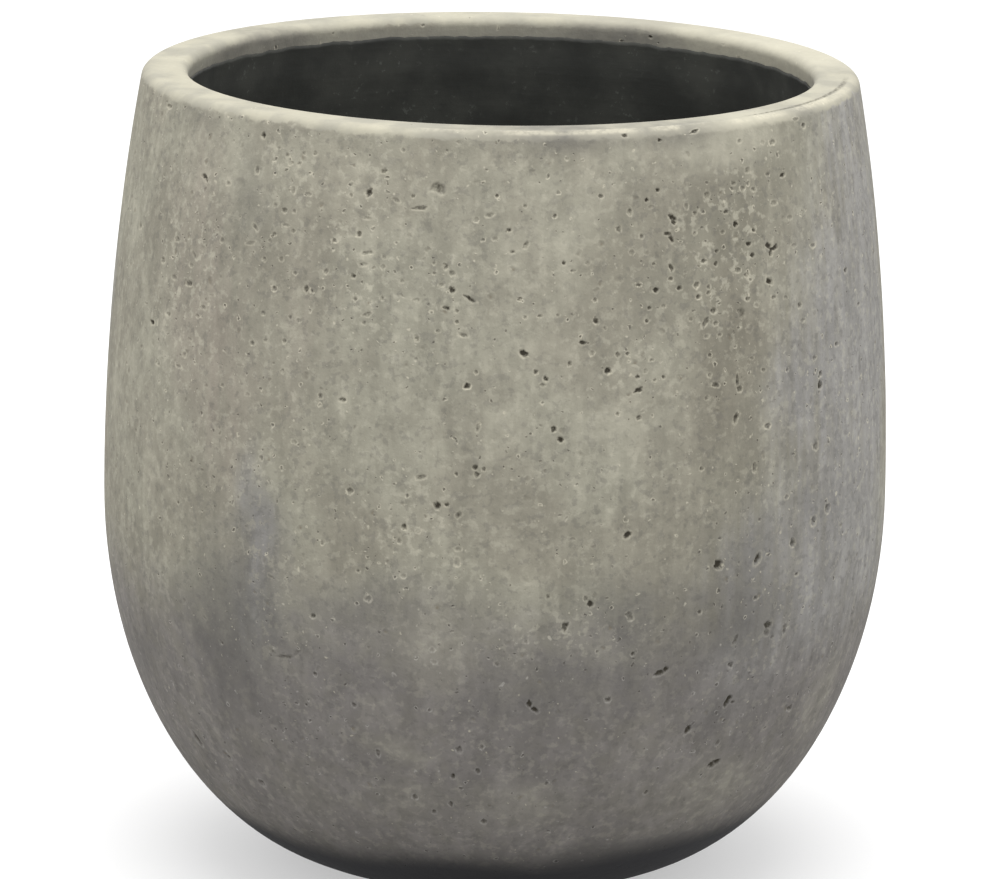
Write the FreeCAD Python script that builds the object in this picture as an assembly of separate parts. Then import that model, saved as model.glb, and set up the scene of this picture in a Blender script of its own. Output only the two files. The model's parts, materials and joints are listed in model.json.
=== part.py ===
"""Cast stone floor pot: a thick round shell, sealed inside, with a plugged drain and rubber feet.

The shell is one casting. Its inside is brushed with a dark waterproof coat that stops just under
the rim. A rubber plug closes the drain in the middle of the floor and lifts out from above. Four
rubber pads under the foot keep the stone off the floor it stands on.

Millimetres, +Z up. The origin is on the floor, under the middle of the pot.
"""

import FreeCAD
import Part

import math
import os

# Stone shell, outside
BELLY_DIAMETER = 340.0
BELLY_HEIGHT = 163.0  # widest level, above the foot face
BODY_HEIGHT = 347.0  # foot face to rim
RIM_DRAW_IN = 16.7  # how far the wall leans in between the belly and the rim
FOOT_DIAMETER = 124.0  # flat face under the rounded base
RIM_OUTER_FILLET = 5.0
RIM_INNER_FILLET = 4.0

# Stone shell, inside
WALL = 20.0
FLOOR = 24.0
CAVITY_FLOOR_DIAMETER = 110.0  # flat part of the floor inside
DRAIN_DIAMETER = 24.0

# Hollow under the foot, which leaves a ring to stand on
FOOT_RING_WIDTH = 22.0
RECESS_DEPTH = 4.0  # its side slopes in by as much, so that it leaves the mould
RECESS_FILLET = 1.5

# Waterproof coat
COAT_THICKNESS = 1.2
COAT_MARGIN = 2.5  # bare stone left between the rim's inner rounding and the coat's edge
COAT_EDGE_TAPER = 3.0  # height over which the coat thins out to its edge

# Drain plug
PLUG_CLEARANCE = 0.8  # radial, between the stem and the drain
PLUG_RIB_CLEARANCE = 0.15  # radial, between the sealing ribs and the drain
PLUG_TAPER = 1.0  # how much the stem's radius drops from head to tip
PLUG_TIP_GAP = 1.5  # between the tip and the hollow under the foot
PLUG_RIB_COUNT = 3
PLUG_RIB_HEIGHT = 2.0
PLUG_FLANGE = 8.0  # how far the head reaches past the drain
PLUG_HEAD_HEIGHT = 5.0  # middle of the domed head, above its seat
LOOP_INSET = 3.5  # from the head's edge to the pull loop, which a fingertip goes through
LOOP_CORD = 4.5  # thickness of the loop

# Rubber pads
PAD_COUNT = 4
PAD_MARGIN = 3.0  # bare foot ring on either side of a pad
PAD_THICKNESS = 3.0
PAD_FILLET = 0.6

# Levels and radii that follow from the sizes above
FOOT_Z = PAD_THICKNESS
BELLY_Z = FOOT_Z + BELLY_HEIGHT
RIM_Z = FOOT_Z + BODY_HEIGHT
RECESS_Z = FOOT_Z + RECESS_DEPTH
FLOOR_Z = FOOT_Z + FLOOR
SEAT_Z = FLOOR_Z + COAT_THICKNESS  # where the plug's head sits
BELLY_RADIUS = BELLY_DIAMETER / 2
FOOT_RADIUS = FOOT_DIAMETER / 2
CAVITY_FLOOR_RADIUS = CAVITY_FLOOR_DIAMETER / 2
DRAIN_RADIUS = DRAIN_DIAMETER / 2
RECESS_RADIUS = FOOT_RADIUS - FOOT_RING_WIDTH
PLUG_HEAD_RADIUS = DRAIN_RADIUS + PLUG_FLANGE
PLUG_TIP_Z = RECESS_Z + PLUG_TIP_GAP
PLUG_STEM_LENGTH = SEAT_Z - PLUG_TIP_Z
LOOP_RADIUS = PLUG_HEAD_RADIUS - LOOP_INSET - LOOP_CORD / 2  # to the middle of its cord
PAD_RADIUS = FOOT_RING_WIDTH / 2 - PAD_MARGIN
PAD_CENTRE_RADIUS = FOOT_RADIUS - FOOT_RING_WIDTH / 2

# The arc that is upright at the belly and RIM_DRAW_IN further in at the rim
UPPER_ROUND = (RIM_DRAW_IN**2 + (RIM_Z - BELLY_Z) ** 2) / (2 * RIM_DRAW_IN)

SAME_PLACE = 1e-4  # how near two measures are when they name one edge
AXIS = FreeCAD.Vector(0, 0, 1)
ORIGIN = FreeCAD.Vector(0, 0, 0)


def at(radius, z):
    """A point of a half section, as far from the axis as radius."""
    return FreeCAD.Vector(radius, 0, z)


def chain(*points):
    """Straight edges through the points in turn."""
    return [Part.LineSegment(a, b).toShape() for a, b in zip(points, points[1:])]


def quarter_ellipse(start, corner, end):
    """A quarter ellipse that leaves start towards corner and reaches end from corner."""
    curve = Part.BezierCurve()
    curve.setPoles([start, corner, end])
    curve.setWeight(2, math.sqrt(0.5))
    return curve.toShape()


def base_curve(inset, foot_radius, foot_z):
    """The round between a flat foot and the belly, with the belly inset from the outside."""
    belly = BELLY_RADIUS - inset
    return quarter_ellipse(at(foot_radius, foot_z), at(belly, foot_z), at(belly, BELLY_Z))


def wall_at(inset, z):
    """The point at height z, between belly and rim, of the wall that lies inset from the outside."""
    reach = math.sqrt((UPPER_ROUND - inset) ** 2 - (z - BELLY_Z) ** 2)
    return at(BELLY_RADIUS - UPPER_ROUND + reach, z)


def wall_curve(inset, top_z):
    """The arc of that wall from the belly up to top_z."""
    middle_z = (BELLY_Z + top_z) / 2
    return Part.Arc(wall_at(inset, BELLY_Z), wall_at(inset, middle_z), wall_at(inset, top_z)).toShape()


def turned(edges):
    """The solid that a closed half section makes when it is turned about the axis."""
    section = Part.Face(Part.Wire(Part.sortEdges(edges)[0]))
    return section.revolve(ORIGIN, AXIS, 360)


def softened(solid, radius, edges):
    """The solid with those edges rounded."""
    return solid.makeFillet(radius, edges).Solids[0]


def rings(shape, radius, z):
    """The round edges of a turned shape at that radius and height."""
    return [
        edge
        for edge in shape.Edges
        if isinstance(edge.Curve, Part.Circle)
        and abs(edge.Curve.Radius - radius) < SAME_PLACE
        and abs(edge.Curve.Center.z - z) < SAME_PLACE
    ]


def pot_body():
    """The casting: rounded base, drawn-in wall, soft rim, hollow foot and a drain hole."""
    outside = [base_curve(0, FOOT_RADIUS, FOOT_Z), wall_curve(0, RIM_Z)]
    inside = [base_curve(WALL, CAVITY_FLOOR_RADIUS, FLOOR_Z), wall_curve(WALL, RIM_Z)]
    rim = chain(wall_at(0, RIM_Z), wall_at(WALL, RIM_Z))
    recess_top = at(RECESS_RADIUS - RECESS_DEPTH, RECESS_Z)
    underside = chain(
        at(CAVITY_FLOOR_RADIUS, FLOOR_Z),
        at(DRAIN_RADIUS, FLOOR_Z),
        at(DRAIN_RADIUS, RECESS_Z),
        recess_top,
        at(RECESS_RADIUS, FOOT_Z),
        at(FOOT_RADIUS, FOOT_Z),
    )
    body = turned(outside + inside + rim + underside)
    body = softened(body, RIM_OUTER_FILLET, rings(body, wall_at(0, RIM_Z).x, RIM_Z))
    body = softened(body, RIM_INNER_FILLET, rings(body, wall_at(WALL, RIM_Z).x, RIM_Z))
    recess_edges = rings(body, recess_top.x, RECESS_Z) + rings(body, RECESS_RADIUS, FOOT_Z)
    return softened(body, RECESS_FILLET, recess_edges)


def inner_seal_coat():
    """The coat: an even skin over the floor and wall inside, open at the drain, thin at its edge."""
    top_z = RIM_Z - RIM_INNER_FILLET - COAT_MARGIN
    bare = WALL + COAT_THICKNESS
    on_stone = [base_curve(WALL, CAVITY_FLOOR_RADIUS, FLOOR_Z), wall_curve(WALL, top_z)]
    full_z = top_z - COAT_EDGE_TAPER
    face = [base_curve(bare, CAVITY_FLOOR_RADIUS, SEAT_Z), wall_curve(bare, full_z)]
    edge = chain(wall_at(WALL, top_z), wall_at(bare, full_z))
    drain = chain(
        at(CAVITY_FLOOR_RADIUS, FLOOR_Z),
        at(DRAIN_RADIUS, FLOOR_Z),
        at(DRAIN_RADIUS, SEAT_Z),
        at(CAVITY_FLOOR_RADIUS, SEAT_Z),
    )
    return turned(on_stone + face + edge + drain)


def stem_at(depth):
    """The point of the plug's tapered stem at that depth below its head."""
    taper = PLUG_TAPER * depth / PLUG_STEM_LENGTH
    return at(DRAIN_RADIUS - PLUG_CLEARANCE - taper, SEAT_Z - depth)


def plug_stem():
    """The stem's outline from the head down: sealing ribs on a taper, then the tip."""
    points = [stem_at(0)]
    for number in range(1, PLUG_RIB_COUNT + 1):
        middle = PLUG_STEM_LENGTH * number / (PLUG_RIB_COUNT + 1)
        shoulder = middle - PLUG_RIB_HEIGHT / 2
        points.append(stem_at(shoulder))
        points.append(at(DRAIN_RADIUS - PLUG_RIB_CLEARANCE, SEAT_Z - shoulder))
        points.append(stem_at(middle + PLUG_RIB_HEIGHT / 2))
    points.append(stem_at(PLUG_STEM_LENGTH))
    points.append(at(0, PLUG_TIP_Z))
    return points


def pull_loop(base_z):
    """Half a ring that stands on base_z, across the middle of the head."""
    turning_axis = FreeCAD.Vector(0, 1, 0)
    ring = Part.makeTorus(LOOP_RADIUS, LOOP_CORD / 2, FreeCAD.Vector(0, 0, base_z), turning_axis)
    reach = LOOP_RADIUS + LOOP_CORD
    corner = FreeCAD.Vector(-reach, -LOOP_CORD, base_z)
    return ring.common(Part.makeBox(2 * reach, 2 * LOOP_CORD, reach, corner))


def drain_plug():
    """The rubber plug: domed head, ribbed stem and a loop to pull it by."""
    crown_z = SEAT_Z + PLUG_HEAD_HEIGHT
    dome = quarter_ellipse(at(PLUG_HEAD_RADIUS, SEAT_Z), at(PLUG_HEAD_RADIUS, crown_z), at(0, crown_z))
    stem = plug_stem()
    seat = chain(at(PLUG_HEAD_RADIUS, SEAT_Z), stem[0])
    core = chain(stem[-1], at(0, crown_z))
    plug = turned([dome] + seat + chain(*stem) + core)
    loop = pull_loop(SEAT_Z + PLUG_HEAD_HEIGHT / 2)
    return plug.fuse(loop).removeSplitter().Solids[0]


def floor_pad(number):
    """One rubber pad, in the middle of the foot ring."""
    pad = Part.makeCylinder(PAD_RADIUS, PAD_THICKNESS)
    pad = softened(pad, PAD_FILLET, rings(pad, PAD_RADIUS, 0))
    pad.translate(at(PAD_CENTRE_RADIUS, 0))
    pad.rotate(ORIGIN, AXIS, (number + 0.5) * 360 / PAD_COUNT)
    return pad


def main():
    """Build every piece and write it under its own name."""
    pieces = {
        "pot_body": pot_body(),
        "inner_seal_coat": inner_seal_coat(),
        "drain_plug": drain_plug(),
    }
    for number in range(PAD_COUNT):
        pieces[f"floor_pad_{number + 1}"] = floor_pad(number)
    os.makedirs("parts", exist_ok=True)
    for name, shape in pieces.items():
        shape.exportStep(f"parts/{name}.step")
        print(f"{name}: {shape.Volume / 1000:.1f} cubic centimetres")


main()
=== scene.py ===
"""Looks of a cast stone floor pot: pitted, weathered stone, a brushed seal coat, a rubber plug and pads.

The camera stands where the photograph's camera stood. Places that were read off the photograph are
pixels of its frame, 1000 wide and 879 high, and are cast onto the pot from that camera. Sizes are metres.
"""

import json
import logging
import math
import random
from collections.abc import Sequence
from dataclasses import dataclass, field
from enum import Enum

import bmesh
import bpy
from bmesh.types import BMEdge, BMesh, BMFace, BMVert
from bpy.types import Material, Node, NodeSocket, Object
from mathutils import Color, Matrix, Vector, noise
from mathutils.bvhtree import BVHTree
from mathutils.kdtree import KDTree

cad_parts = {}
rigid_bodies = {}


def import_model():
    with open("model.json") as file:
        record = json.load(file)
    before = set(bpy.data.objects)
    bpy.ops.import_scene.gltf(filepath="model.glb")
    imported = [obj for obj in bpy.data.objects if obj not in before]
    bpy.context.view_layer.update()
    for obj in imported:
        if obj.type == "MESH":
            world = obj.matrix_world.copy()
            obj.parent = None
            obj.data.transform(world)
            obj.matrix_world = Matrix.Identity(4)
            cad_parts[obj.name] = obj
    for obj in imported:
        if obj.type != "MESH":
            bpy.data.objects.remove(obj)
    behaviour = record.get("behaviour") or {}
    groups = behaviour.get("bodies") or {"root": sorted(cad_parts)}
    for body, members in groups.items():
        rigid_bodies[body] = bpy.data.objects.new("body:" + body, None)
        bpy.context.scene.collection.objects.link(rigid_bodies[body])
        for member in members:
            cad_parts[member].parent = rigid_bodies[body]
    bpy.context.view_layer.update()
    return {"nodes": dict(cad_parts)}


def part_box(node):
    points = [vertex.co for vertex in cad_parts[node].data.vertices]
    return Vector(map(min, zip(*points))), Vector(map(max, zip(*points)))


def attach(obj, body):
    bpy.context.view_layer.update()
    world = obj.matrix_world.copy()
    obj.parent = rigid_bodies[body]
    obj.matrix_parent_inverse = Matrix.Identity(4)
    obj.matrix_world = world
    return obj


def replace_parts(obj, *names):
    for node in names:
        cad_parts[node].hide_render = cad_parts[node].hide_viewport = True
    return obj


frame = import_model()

MM = 0.001
SAME_PLACE = 0.001 * MM

Colour = tuple[float, float, float, float]
log = logging.getLogger("cast_stone_pot")


def srgb(red: int, green: int, blue: int) -> Colour:
    """A display colour, 0 to 255 a channel, as the linear colour that a shader takes."""
    linear = Color((red / 255, green / 255, blue / 255)).from_srgb_to_scene_linear()
    return linear.r, linear.g, linear.b, 1.0


def eased(value: float, low: float, high: float) -> float:
    """How far value is on its way from low to high, from 0 to 1, with soft ends."""
    share = min(1.0, max(0.0, (value - low) / (high - low)))
    return share * share * (3 - 2 * share)


def plateau(value: float, rise: tuple[float, float], fall: tuple[float, float]) -> float:
    """1 between two stretches of values, 0 before and after both, and soft on each of them."""
    return eased(value, *rise) * (1 - eased(value, *fall))


def degrees(first: float, last: float) -> tuple[float, float]:
    """A stretch of angles, given in degrees."""
    return math.radians(first), math.radians(last)


def swell(place: Vector) -> float:
    """Soft noise at a place, from 0 to 1."""
    return 0.5 + 0.5 * noise.noise(place)


def azimuth(point: Vector) -> float:
    """The angle about the pot's axis, 0 at the front and growing to the viewer's right."""
    return math.atan2(point.x, -point.y)


def around(first: float, second: float) -> float:
    """The signed angle from second to first, the short way round."""
    return math.remainder(first - second, math.tau)


@dataclass(frozen=True)
class Pixel:
    """A place in the photograph's frame."""

    x: float
    y: float


@dataclass(frozen=True)
class PhotoCamera:
    """The camera at the photograph's viewing angle."""

    stand_off: float = 2.5
    height: float = 0.78
    pitch: float = -0.2332
    yaw: float = 0.0008
    roll: float = 0.0153
    focal_pixels: float = 5908.0
    frame_width: int = 1000
    frame_height: int = 879
    sensor_mm: float = 36.0
    farthest: float = 50.0

    def place(self) -> Vector:
        """Where the camera stands."""
        return Vector((0, -self.stand_off, self.height))

    def turn(self) -> Matrix:
        """The camera's right, up and backward directions, as the columns of a matrix.

        Returns:
            The matrix.
        """
        forward = Vector(
            (
                math.sin(self.yaw) * math.cos(self.pitch),
                math.cos(self.yaw) * math.cos(self.pitch),
                math.sin(self.pitch),
            )
        )
        level = Vector((math.cos(self.yaw), -math.sin(self.yaw), 0))
        upright = level.cross(forward)
        right = level * math.cos(self.roll) + upright * math.sin(self.roll)
        up = upright * math.cos(self.roll) - level * math.sin(self.roll)
        return Matrix((right, up, -forward)).transposed()

    def look(self, pixel: Pixel) -> Vector:
        """The direction in which the camera sees a pixel.

        Args:
            pixel: The pixel.

        Returns:
            The direction, one long.
        """
        across = pixel.x - self.frame_width / 2
        upward = self.frame_height / 2 - pixel.y
        return (self.turn() @ Vector((across, upward, -self.focal_pixels))).normalized()

    def build(self) -> Object:
        """Make the camera and set the scene to use it.

        Returns:
            The camera object.
        """
        data = bpy.data.cameras.new("photo_camera")
        data.sensor_fit = "HORIZONTAL"
        data.sensor_width = self.sensor_mm
        data.lens = self.focal_pixels * self.sensor_mm / self.frame_width
        data.clip_end = self.farthest
        camera = bpy.data.objects.new("photo_camera", data)
        camera.matrix_world = Matrix.Translation(self.place()) @ self.turn().to_4x4()
        bpy.context.scene.collection.objects.link(camera)
        bpy.context.scene.camera = camera
        return camera


class Film(Enum):
    """What weather and casting leave on the stone, and the light and shade painted on it, each a measure
    that the mesh carries.
    """

    PIT = "pit"
    # Pale crust round pores and on the rim's rough edge, partly painted light: paler under each pore, and
    # a painted highlight on the edge
    CRUST_AND_PAINTED_LIGHT = "crust"
    TIDE = "tide"
    ROSE = "rose"
    UMBER = "umber"
    SLATE = "slate"
    # Dark stains, and painted shade on the front of the rim, on the left of its lip and at the base on the
    # right
    SHADE = "shade"
    # Pale patches, and painted light on the back of the rim, on the right of its lip and on the band just
    # over the base
    BLOOM = "bloom_and_painted_light"
    RIM = "rim"
    LIP = "lip"
    # Painted shade along the base, darker towards the floor
    PAINTED_BASE_SHADE = "painted_base_shade"
    RAW = "raw"


@dataclass(frozen=True)
class Grain:
    """A noise on a face: the size of its largest features, its fineness and how it is stretched."""

    size: float
    detail: float
    roughness: float
    stretch: tuple[float, float, float] = (1, 1, 1)


@dataclass(frozen=True)
class Ramp:
    """What a value's stretch from low to high becomes, with eased ends where it is soft."""

    low: float
    high: float
    start: float = 0
    end: float = 1
    soft: bool = True


def tone(low: float, high: float, swing: float) -> Ramp:
    """The factors that darken a colour by swing at low and lighten it by as much at high."""
    return Ramp(low, high, 1 - swing, 1 + swing, soft=False)


def wander(low: float, high: float, reach: float) -> Ramp:
    """What moves an edge by as much as reach, back at low and forth at high."""
    return Ramp(low, high, -reach, reach, soft=False)


class Graph:
    """A node tree, with short calls for the nodes that the finishes use."""

    def __init__(self, tree: bpy.types.NodeTree) -> None:
        """Start from an empty tree.

        Args:
            tree: The tree of a material or of the world.
        """
        self.tree = tree
        tree.nodes.clear()

    def node(self, kind: str, inputs: dict[str | int, object] | None = None, **settings: object) -> Node:
        """Add a node, with its settings and its inputs.

        Args:
            kind: The node's type name, without the leading ShaderNode.
            inputs: What each input takes, either a plain value or a socket to link.
            settings: The node's own properties.

        Returns:
            The node.
        """
        node = self.tree.nodes.new(f"ShaderNode{kind}")
        for name, value in settings.items():
            setattr(node, name, value)
        for key, value in (inputs or {}).items():
            if isinstance(value, NodeSocket):
                self.tree.links.new(value, node.inputs[key])
            else:
                node.inputs[key].default_value = value
        return node

    def place(self, stretch: tuple[float, float, float] = (1, 1, 1)) -> NodeSocket:
        """Object coordinates, stretched along the axes.

        Args:
            stretch: The factor of each axis.

        Returns:
            The coordinates.
        """
        coordinates = self.node("TexCoord").outputs["Object"]
        if stretch == (1, 1, 1):
            return coordinates
        return self.node("Mapping", {"Vector": coordinates, "Scale": stretch}).outputs["Vector"]

    def attribute(self, name: str) -> NodeSocket:
        """A measure that the mesh carries at its vertices."""
        return self.node("Attribute", attribute_name=name).outputs["Fac"]

    def film(self, film: Film) -> NodeSocket:
        """A film's measure on the stone."""
        return self.attribute(film.value)

    def noise(self, grain: Grain) -> NodeSocket:
        """Noise of that grain, about 0.5 on the whole.

        Args:
            grain: Its size, fineness and stretch.

        Returns:
            The noise.
        """
        inputs = {
            "Vector": self.place(grain.stretch),
            "Scale": 1 / grain.size,
            "Detail": grain.detail,
            "Roughness": grain.roughness,
        }
        return self.node("TexNoise", inputs).outputs["Fac"]

    def span(self, value: NodeSocket, ramp: Ramp) -> NodeSocket:
        """Bring a value onto a ramp.

        Args:
            value: The value.
            ramp: What its stretch becomes.

        Returns:
            The result, which never leaves the ramp.
        """
        inputs = {
            "Value": value,
            "From Min": ramp.low,
            "From Max": ramp.high,
            "To Min": ramp.start,
            "To Max": ramp.end,
        }
        kind = "SMOOTHSTEP" if ramp.soft else "LINEAR"
        return self.node("MapRange", inputs, interpolation_type=kind).outputs["Result"]

    def math(self, operation: str, first: NodeSocket, second: NodeSocket | float) -> NodeSocket:
        """One sum, product or the like of two values."""
        return self.node("Math", {0: first, 1: second}, operation=operation).outputs["Value"]

    def plus(self, first: NodeSocket, second: NodeSocket) -> NodeSocket:
        """The sum of two values."""
        return self.math("ADD", first, second)

    def times(self, first: NodeSocket, second: NodeSocket | float) -> NodeSocket:
        """The product of two values."""
        return self.math("MULTIPLY", first, second)

    def mix(self, share: NodeSocket, under: NodeSocket | Colour, over: NodeSocket | Colour) -> NodeSocket:
        """Lay one colour over another.

        Args:
            share: How much of the upper colour shows, from 0 to 1.
            under: The lower colour.
            over: The upper colour.

        Returns:
            The mixed colour.
        """
        node = self.node("Mix", data_type="RGBA")
        sockets = {"Factor_Float": share, "A_Color": under, "B_Color": over}
        for socket in node.inputs:
            value = sockets.get(socket.identifier)
            if isinstance(value, NodeSocket):
                self.tree.links.new(value, socket)
            elif value is not None:
                socket.default_value = value
        return next(socket for socket in node.outputs if socket.identifier == "Result_Color")

    def toned(self, colour: NodeSocket, value: NodeSocket, ramp: Ramp) -> NodeSocket:
        """Darken and lighten a colour by a value.

        Args:
            colour: The colour.
            value: What decides the tone.
            ramp: The factors that the value gives.

        Returns:
            The toned colour.
        """
        factor = self.span(value, ramp)
        return self.node("VectorMath", {0: colour, "Scale": factor}, operation="SCALE").outputs["Vector"]

    def bump(
        self,
        height: NodeSocket,
        depth: float,
        strength: NodeSocket | float,
        normal: NodeSocket | None = None,
    ) -> NodeSocket:
        """Relief that is too fine for the mesh.

        Args:
            height: The height.
            depth: How many metres a height of 1 counts.
            strength: How much of the relief shows.
            normal: The relief that it lies on.

        Returns:
            The normal socket.
        """
        inputs: dict[str | int, object] = {"Height": height, "Distance": depth, "Strength": strength}
        if normal is not None:
            inputs["Normal"] = normal
        return self.node("Bump", inputs).outputs["Normal"]

    def surface(self, shader: NodeSocket) -> None:
        """End the tree of a material in this shader."""
        self.node("OutputMaterial", {"Surface": shader})


def material_graph(name: str) -> tuple[Material, Graph]:
    """A new material with an empty tree, and the graph that fills it.

    Args:
        name: The material's name.

    Returns:
        The material and its graph.
    """
    material = bpy.data.materials.new(name)
    material.use_nodes = True
    return material, Graph(material.node_tree)


@dataclass(frozen=True)
class Marks:
    """Small marks strewn over the stone, at most one to a cell: hollows, crumbs or grains.

    The ramps run from a mark's middle outwards and count its own radius as 1.
    """

    cell: float
    share: float
    radius: float
    depth: float
    heart: Colour
    heart_most: float
    lip_most: float = 0
    smallest: float = 0.5
    largest: float = 1.3
    cut_off: float = 0.02
    hollow_ramp: Ramp = Ramp(0.2, 1.1, 1, 0)
    heart_ramp: Ramp = Ramp(0.15, 0.9, 1, 0)
    lip_rise: Ramp = Ramp(0.75, 1.05)
    lip_fall: Ramp = Ramp(1.15, 1.6, 1, 0)

    def find(
        self, graph: Graph, place: NodeSocket, clusters: NodeSocket, torn: NodeSocket
    ) -> "StrewnMarks":
        """Where the marks are.

        Args:
            graph: The material's graph.
            place: The coordinates that the cells fill.
            clusters: How many of the marks are let through, from 0 to 1.
            torn: How much is left of their lips, from 0 to 1.

        Returns:
            The marks, found in the material.
        """
        cells = graph.node("TexVoronoi", {"Vector": place, "Scale": 1 / self.cell, "Randomness": 1.0})
        draw = graph.node("SeparateColor", {"Color": cells.outputs["Color"]})
        usual = self.radius / self.cell
        sizes = Ramp(0, 1, self.smallest * usual, self.largest * usual, soft=False)
        reach = graph.math("DIVIDE", cells.outputs["Distance"], graph.span(draw.outputs["Green"], sizes))
        chance = graph.times(draw.outputs["Red"], clusters)
        present = graph.span(chance, Ramp(1 - self.share, 1 + self.cut_off - self.share))
        hollow = graph.times(graph.span(reach, self.hollow_ramp), present)
        heart = graph.times(graph.span(reach, self.heart_ramp), present)
        raised = graph.times(graph.span(reach, self.lip_rise), graph.times(present, torn))
        lip = graph.times(graph.span(reach, self.lip_fall), raised)
        return StrewnMarks(self, hollow, heart, lip)


@dataclass(frozen=True)
class StrewnMarks:
    """One kind of marks, found in a material: each value is 1 where it is strongest."""

    kind: Marks
    hollow: NodeSocket
    heart: NodeSocket
    lip: NodeSocket


class Tear(Enum):
    """What a stain's edges look like."""

    RAGGED = "ragged"
    COMBED = "combed"


@dataclass(frozen=True)
class Stain:
    """A stain on the stone, or a patch of painted light or painted shade: where the mesh has it, its
    colour, how much of it shows, and its edges.
    """

    film: Film
    colour: Colour
    most: float
    tear: Tear


@dataclass(frozen=True)
class CastStone:
    """Grey-beige cement with crushed stone, weathered darker below, pitted, matte, with painted light and
    shade in places.
    """

    face: Colour = srgb(159, 156, 141)
    face_dim: Colour = srgb(149, 145, 131)
    umber: Colour = srgb(118, 113, 100)
    # Colour of dark stains and dirt, and of the painted shade
    shade: Colour = srgb(100, 98, 95)
    # Pale colour of lime and pale patches, and of the painted light
    bloom_and_painted_light: Colour = srgb(184, 180, 163)
    rim: Colour = srgb(175, 171, 154)
    rim_dull: Colour = srgb(156, 153, 140)
    lip: Colour = srgb(162, 159, 147)
    # Pale crust, also used for the painted light under pores and on the rim's edge
    crust: Colour = srgb(206, 200, 180)
    crust_low: Colour = srgb(176, 173, 167)
    rust: Colour = srgb(128, 112, 90)
    pore: Colour = srgb(70, 66, 57)
    # Painted shade along the base
    painted_base_shade: Colour = srgb(52, 52, 54)
    roughness: float = 0.88
    specular: float = 0.25

    # What is strewn on it, and where it is gathered, nudged about and torn
    pinholes: Marks = Marks(3.4 * MM, 0.5, 0.55 * MM, 0.3 * MM, pore, 0.6, 0.2)
    pits: Marks = Marks(5 * MM, 0.6, 0.75 * MM, 0.4 * MM, pore, 0.6, 0.65)
    dents: Marks = Marks(7 * MM, 0.5, 1.6 * MM, 0.22 * MM, umber, 0.4, 0.12)
    crumbs: Marks = Marks(4 * MM, 0.6, 0.6 * MM, -0.12 * MM, crust, 0.65)
    grains: Marks = Marks(7 * MM, 0.45, 0.8 * MM, 0, rust, 0.45)
    gathering: Grain = Grain(42 * MM, 3, 0.6)
    gathering_ramp: Ramp = Ramp(0.38, 0.62, 0.5, 0.9)
    raw_gathering: float = 0.65
    rim_gathering: Ramp = Ramp(0.4, 0.7, 1, 0.62)
    nudge_size: float = 3.0 * MM
    nudge_reach: float = 2.8 * MM
    lip_tear: Grain = Grain(2.2 * MM, 1, 0.5)
    lip_tear_ramp: Ramp = Ramp(0.42, 0.6)

    # Stains, patches of painted light and painted shade, and what tears their edges
    under_stains: tuple[Stain, ...] = (
        Stain(Film.ROSE, srgb(149, 142, 130), 0.85, Tear.COMBED),
        Stain(Film.UMBER, umber, 0.8, Tear.RAGGED),
        Stain(Film.TIDE, srgb(131, 127, 123), 1.0, Tear.RAGGED),
        Stain(Film.SLATE, srgb(152, 150, 147), 0.9, Tear.COMBED),
    )
    over_stains: tuple[Stain, ...] = (
        # Dark stains and painted shade, then pale patches and painted light
        Stain(Film.SHADE, shade, 0.85, Tear.RAGGED),
        Stain(Film.BLOOM, bloom_and_painted_light, 0.85, Tear.RAGGED),
    )
    ragged: Ramp = wander(0.7, 1.3, 0.3)
    combed: Ramp = wander(0.7, 1.3, 0.4)
    stain_edge: Ramp = Ramp(0, 0.35)

    # Unevenness of its tone
    cloud: Grain = Grain(45 * MM, 5, 0.55)
    cloud_ramp: Ramp = Ramp(0.38, 0.62)
    scrape: Grain = Grain(15 * MM, 5, 0.65, (1, 1, 0.6))
    scrape_tone: Ramp = tone(0.46, 0.54, 0.06)
    run: Grain = Grain(13 * MM, 4, 0.55, (1, 1, 0.1))
    run_tone: Ramp = tone(0.36, 0.64, 0.055)
    streak: Grain = Grain(5 * MM, 3, 0.5, (1, 1, 0.07))
    streak_tone: Ramp = tone(0.34, 0.66, 0.06)
    fleck: Grain = Grain(8 * MM, 3, 0.55)
    fleck_tone: Ramp = tone(0.4, 0.6, 0.05)
    grit: Grain = Grain(2.4 * MM, 2, 0.5)
    grit_tone: Ramp = tone(0.3, 0.7, 0.025)

    # Lime and dirt in small patches
    lime: Grain = Grain(4 * MM, 4, 0.6)
    lime_ramp: Ramp = Ramp(0.53, 0.63, 0, 0.35)
    lime_where_raw: Ramp = Ramp(0, 1, 0.8, 1.8)
    lime_below_tide: Ramp = Ramp(0, 1, 1, 0.65)
    dirt: Grain = Grain(5 * MM, 4, 0.6, (1.3, 1.3, 1.3))
    dirt_ramp: Ramp = Ramp(0.53, 0.63, 0, 0.28)

    # The rim
    rim_edge: Grain = Grain(11 * MM, 4, 0.65)
    rim_wander: Ramp = wander(0.3, 0.7, 0.22)
    rim_ramp: Ramp = Ramp(0.52, 0.66, 0, 0.95)
    rim_cloud: Grain = Grain(24 * MM, 4, 0.6)
    rim_cloud_ramp: Ramp = Ramp(0.42, 0.62)
    rim_fleck: Grain = Grain(6 * MM, 3, 0.6)
    rim_fleck_tone: Ramp = tone(0.36, 0.64, 0.03)
    lip_wander: float = 0.5
    lip_ramp: Ramp = Ramp(0.15, 0.9, 0, 0.9)

    # Rings and hearts of the pores
    crumble: Grain = Grain(2.2 * MM, 2, 0.6)
    crumble_ramp: Ramp = Ramp(0.36, 0.58, 0.45, 1)
    fray: Grain = Grain(1.3 * MM, 2, 0.5)
    fray_ramp: Ramp = wander(0.3, 0.7, 0.4)
    fray_edge: Ramp = Ramp(0, 0.3)

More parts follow.
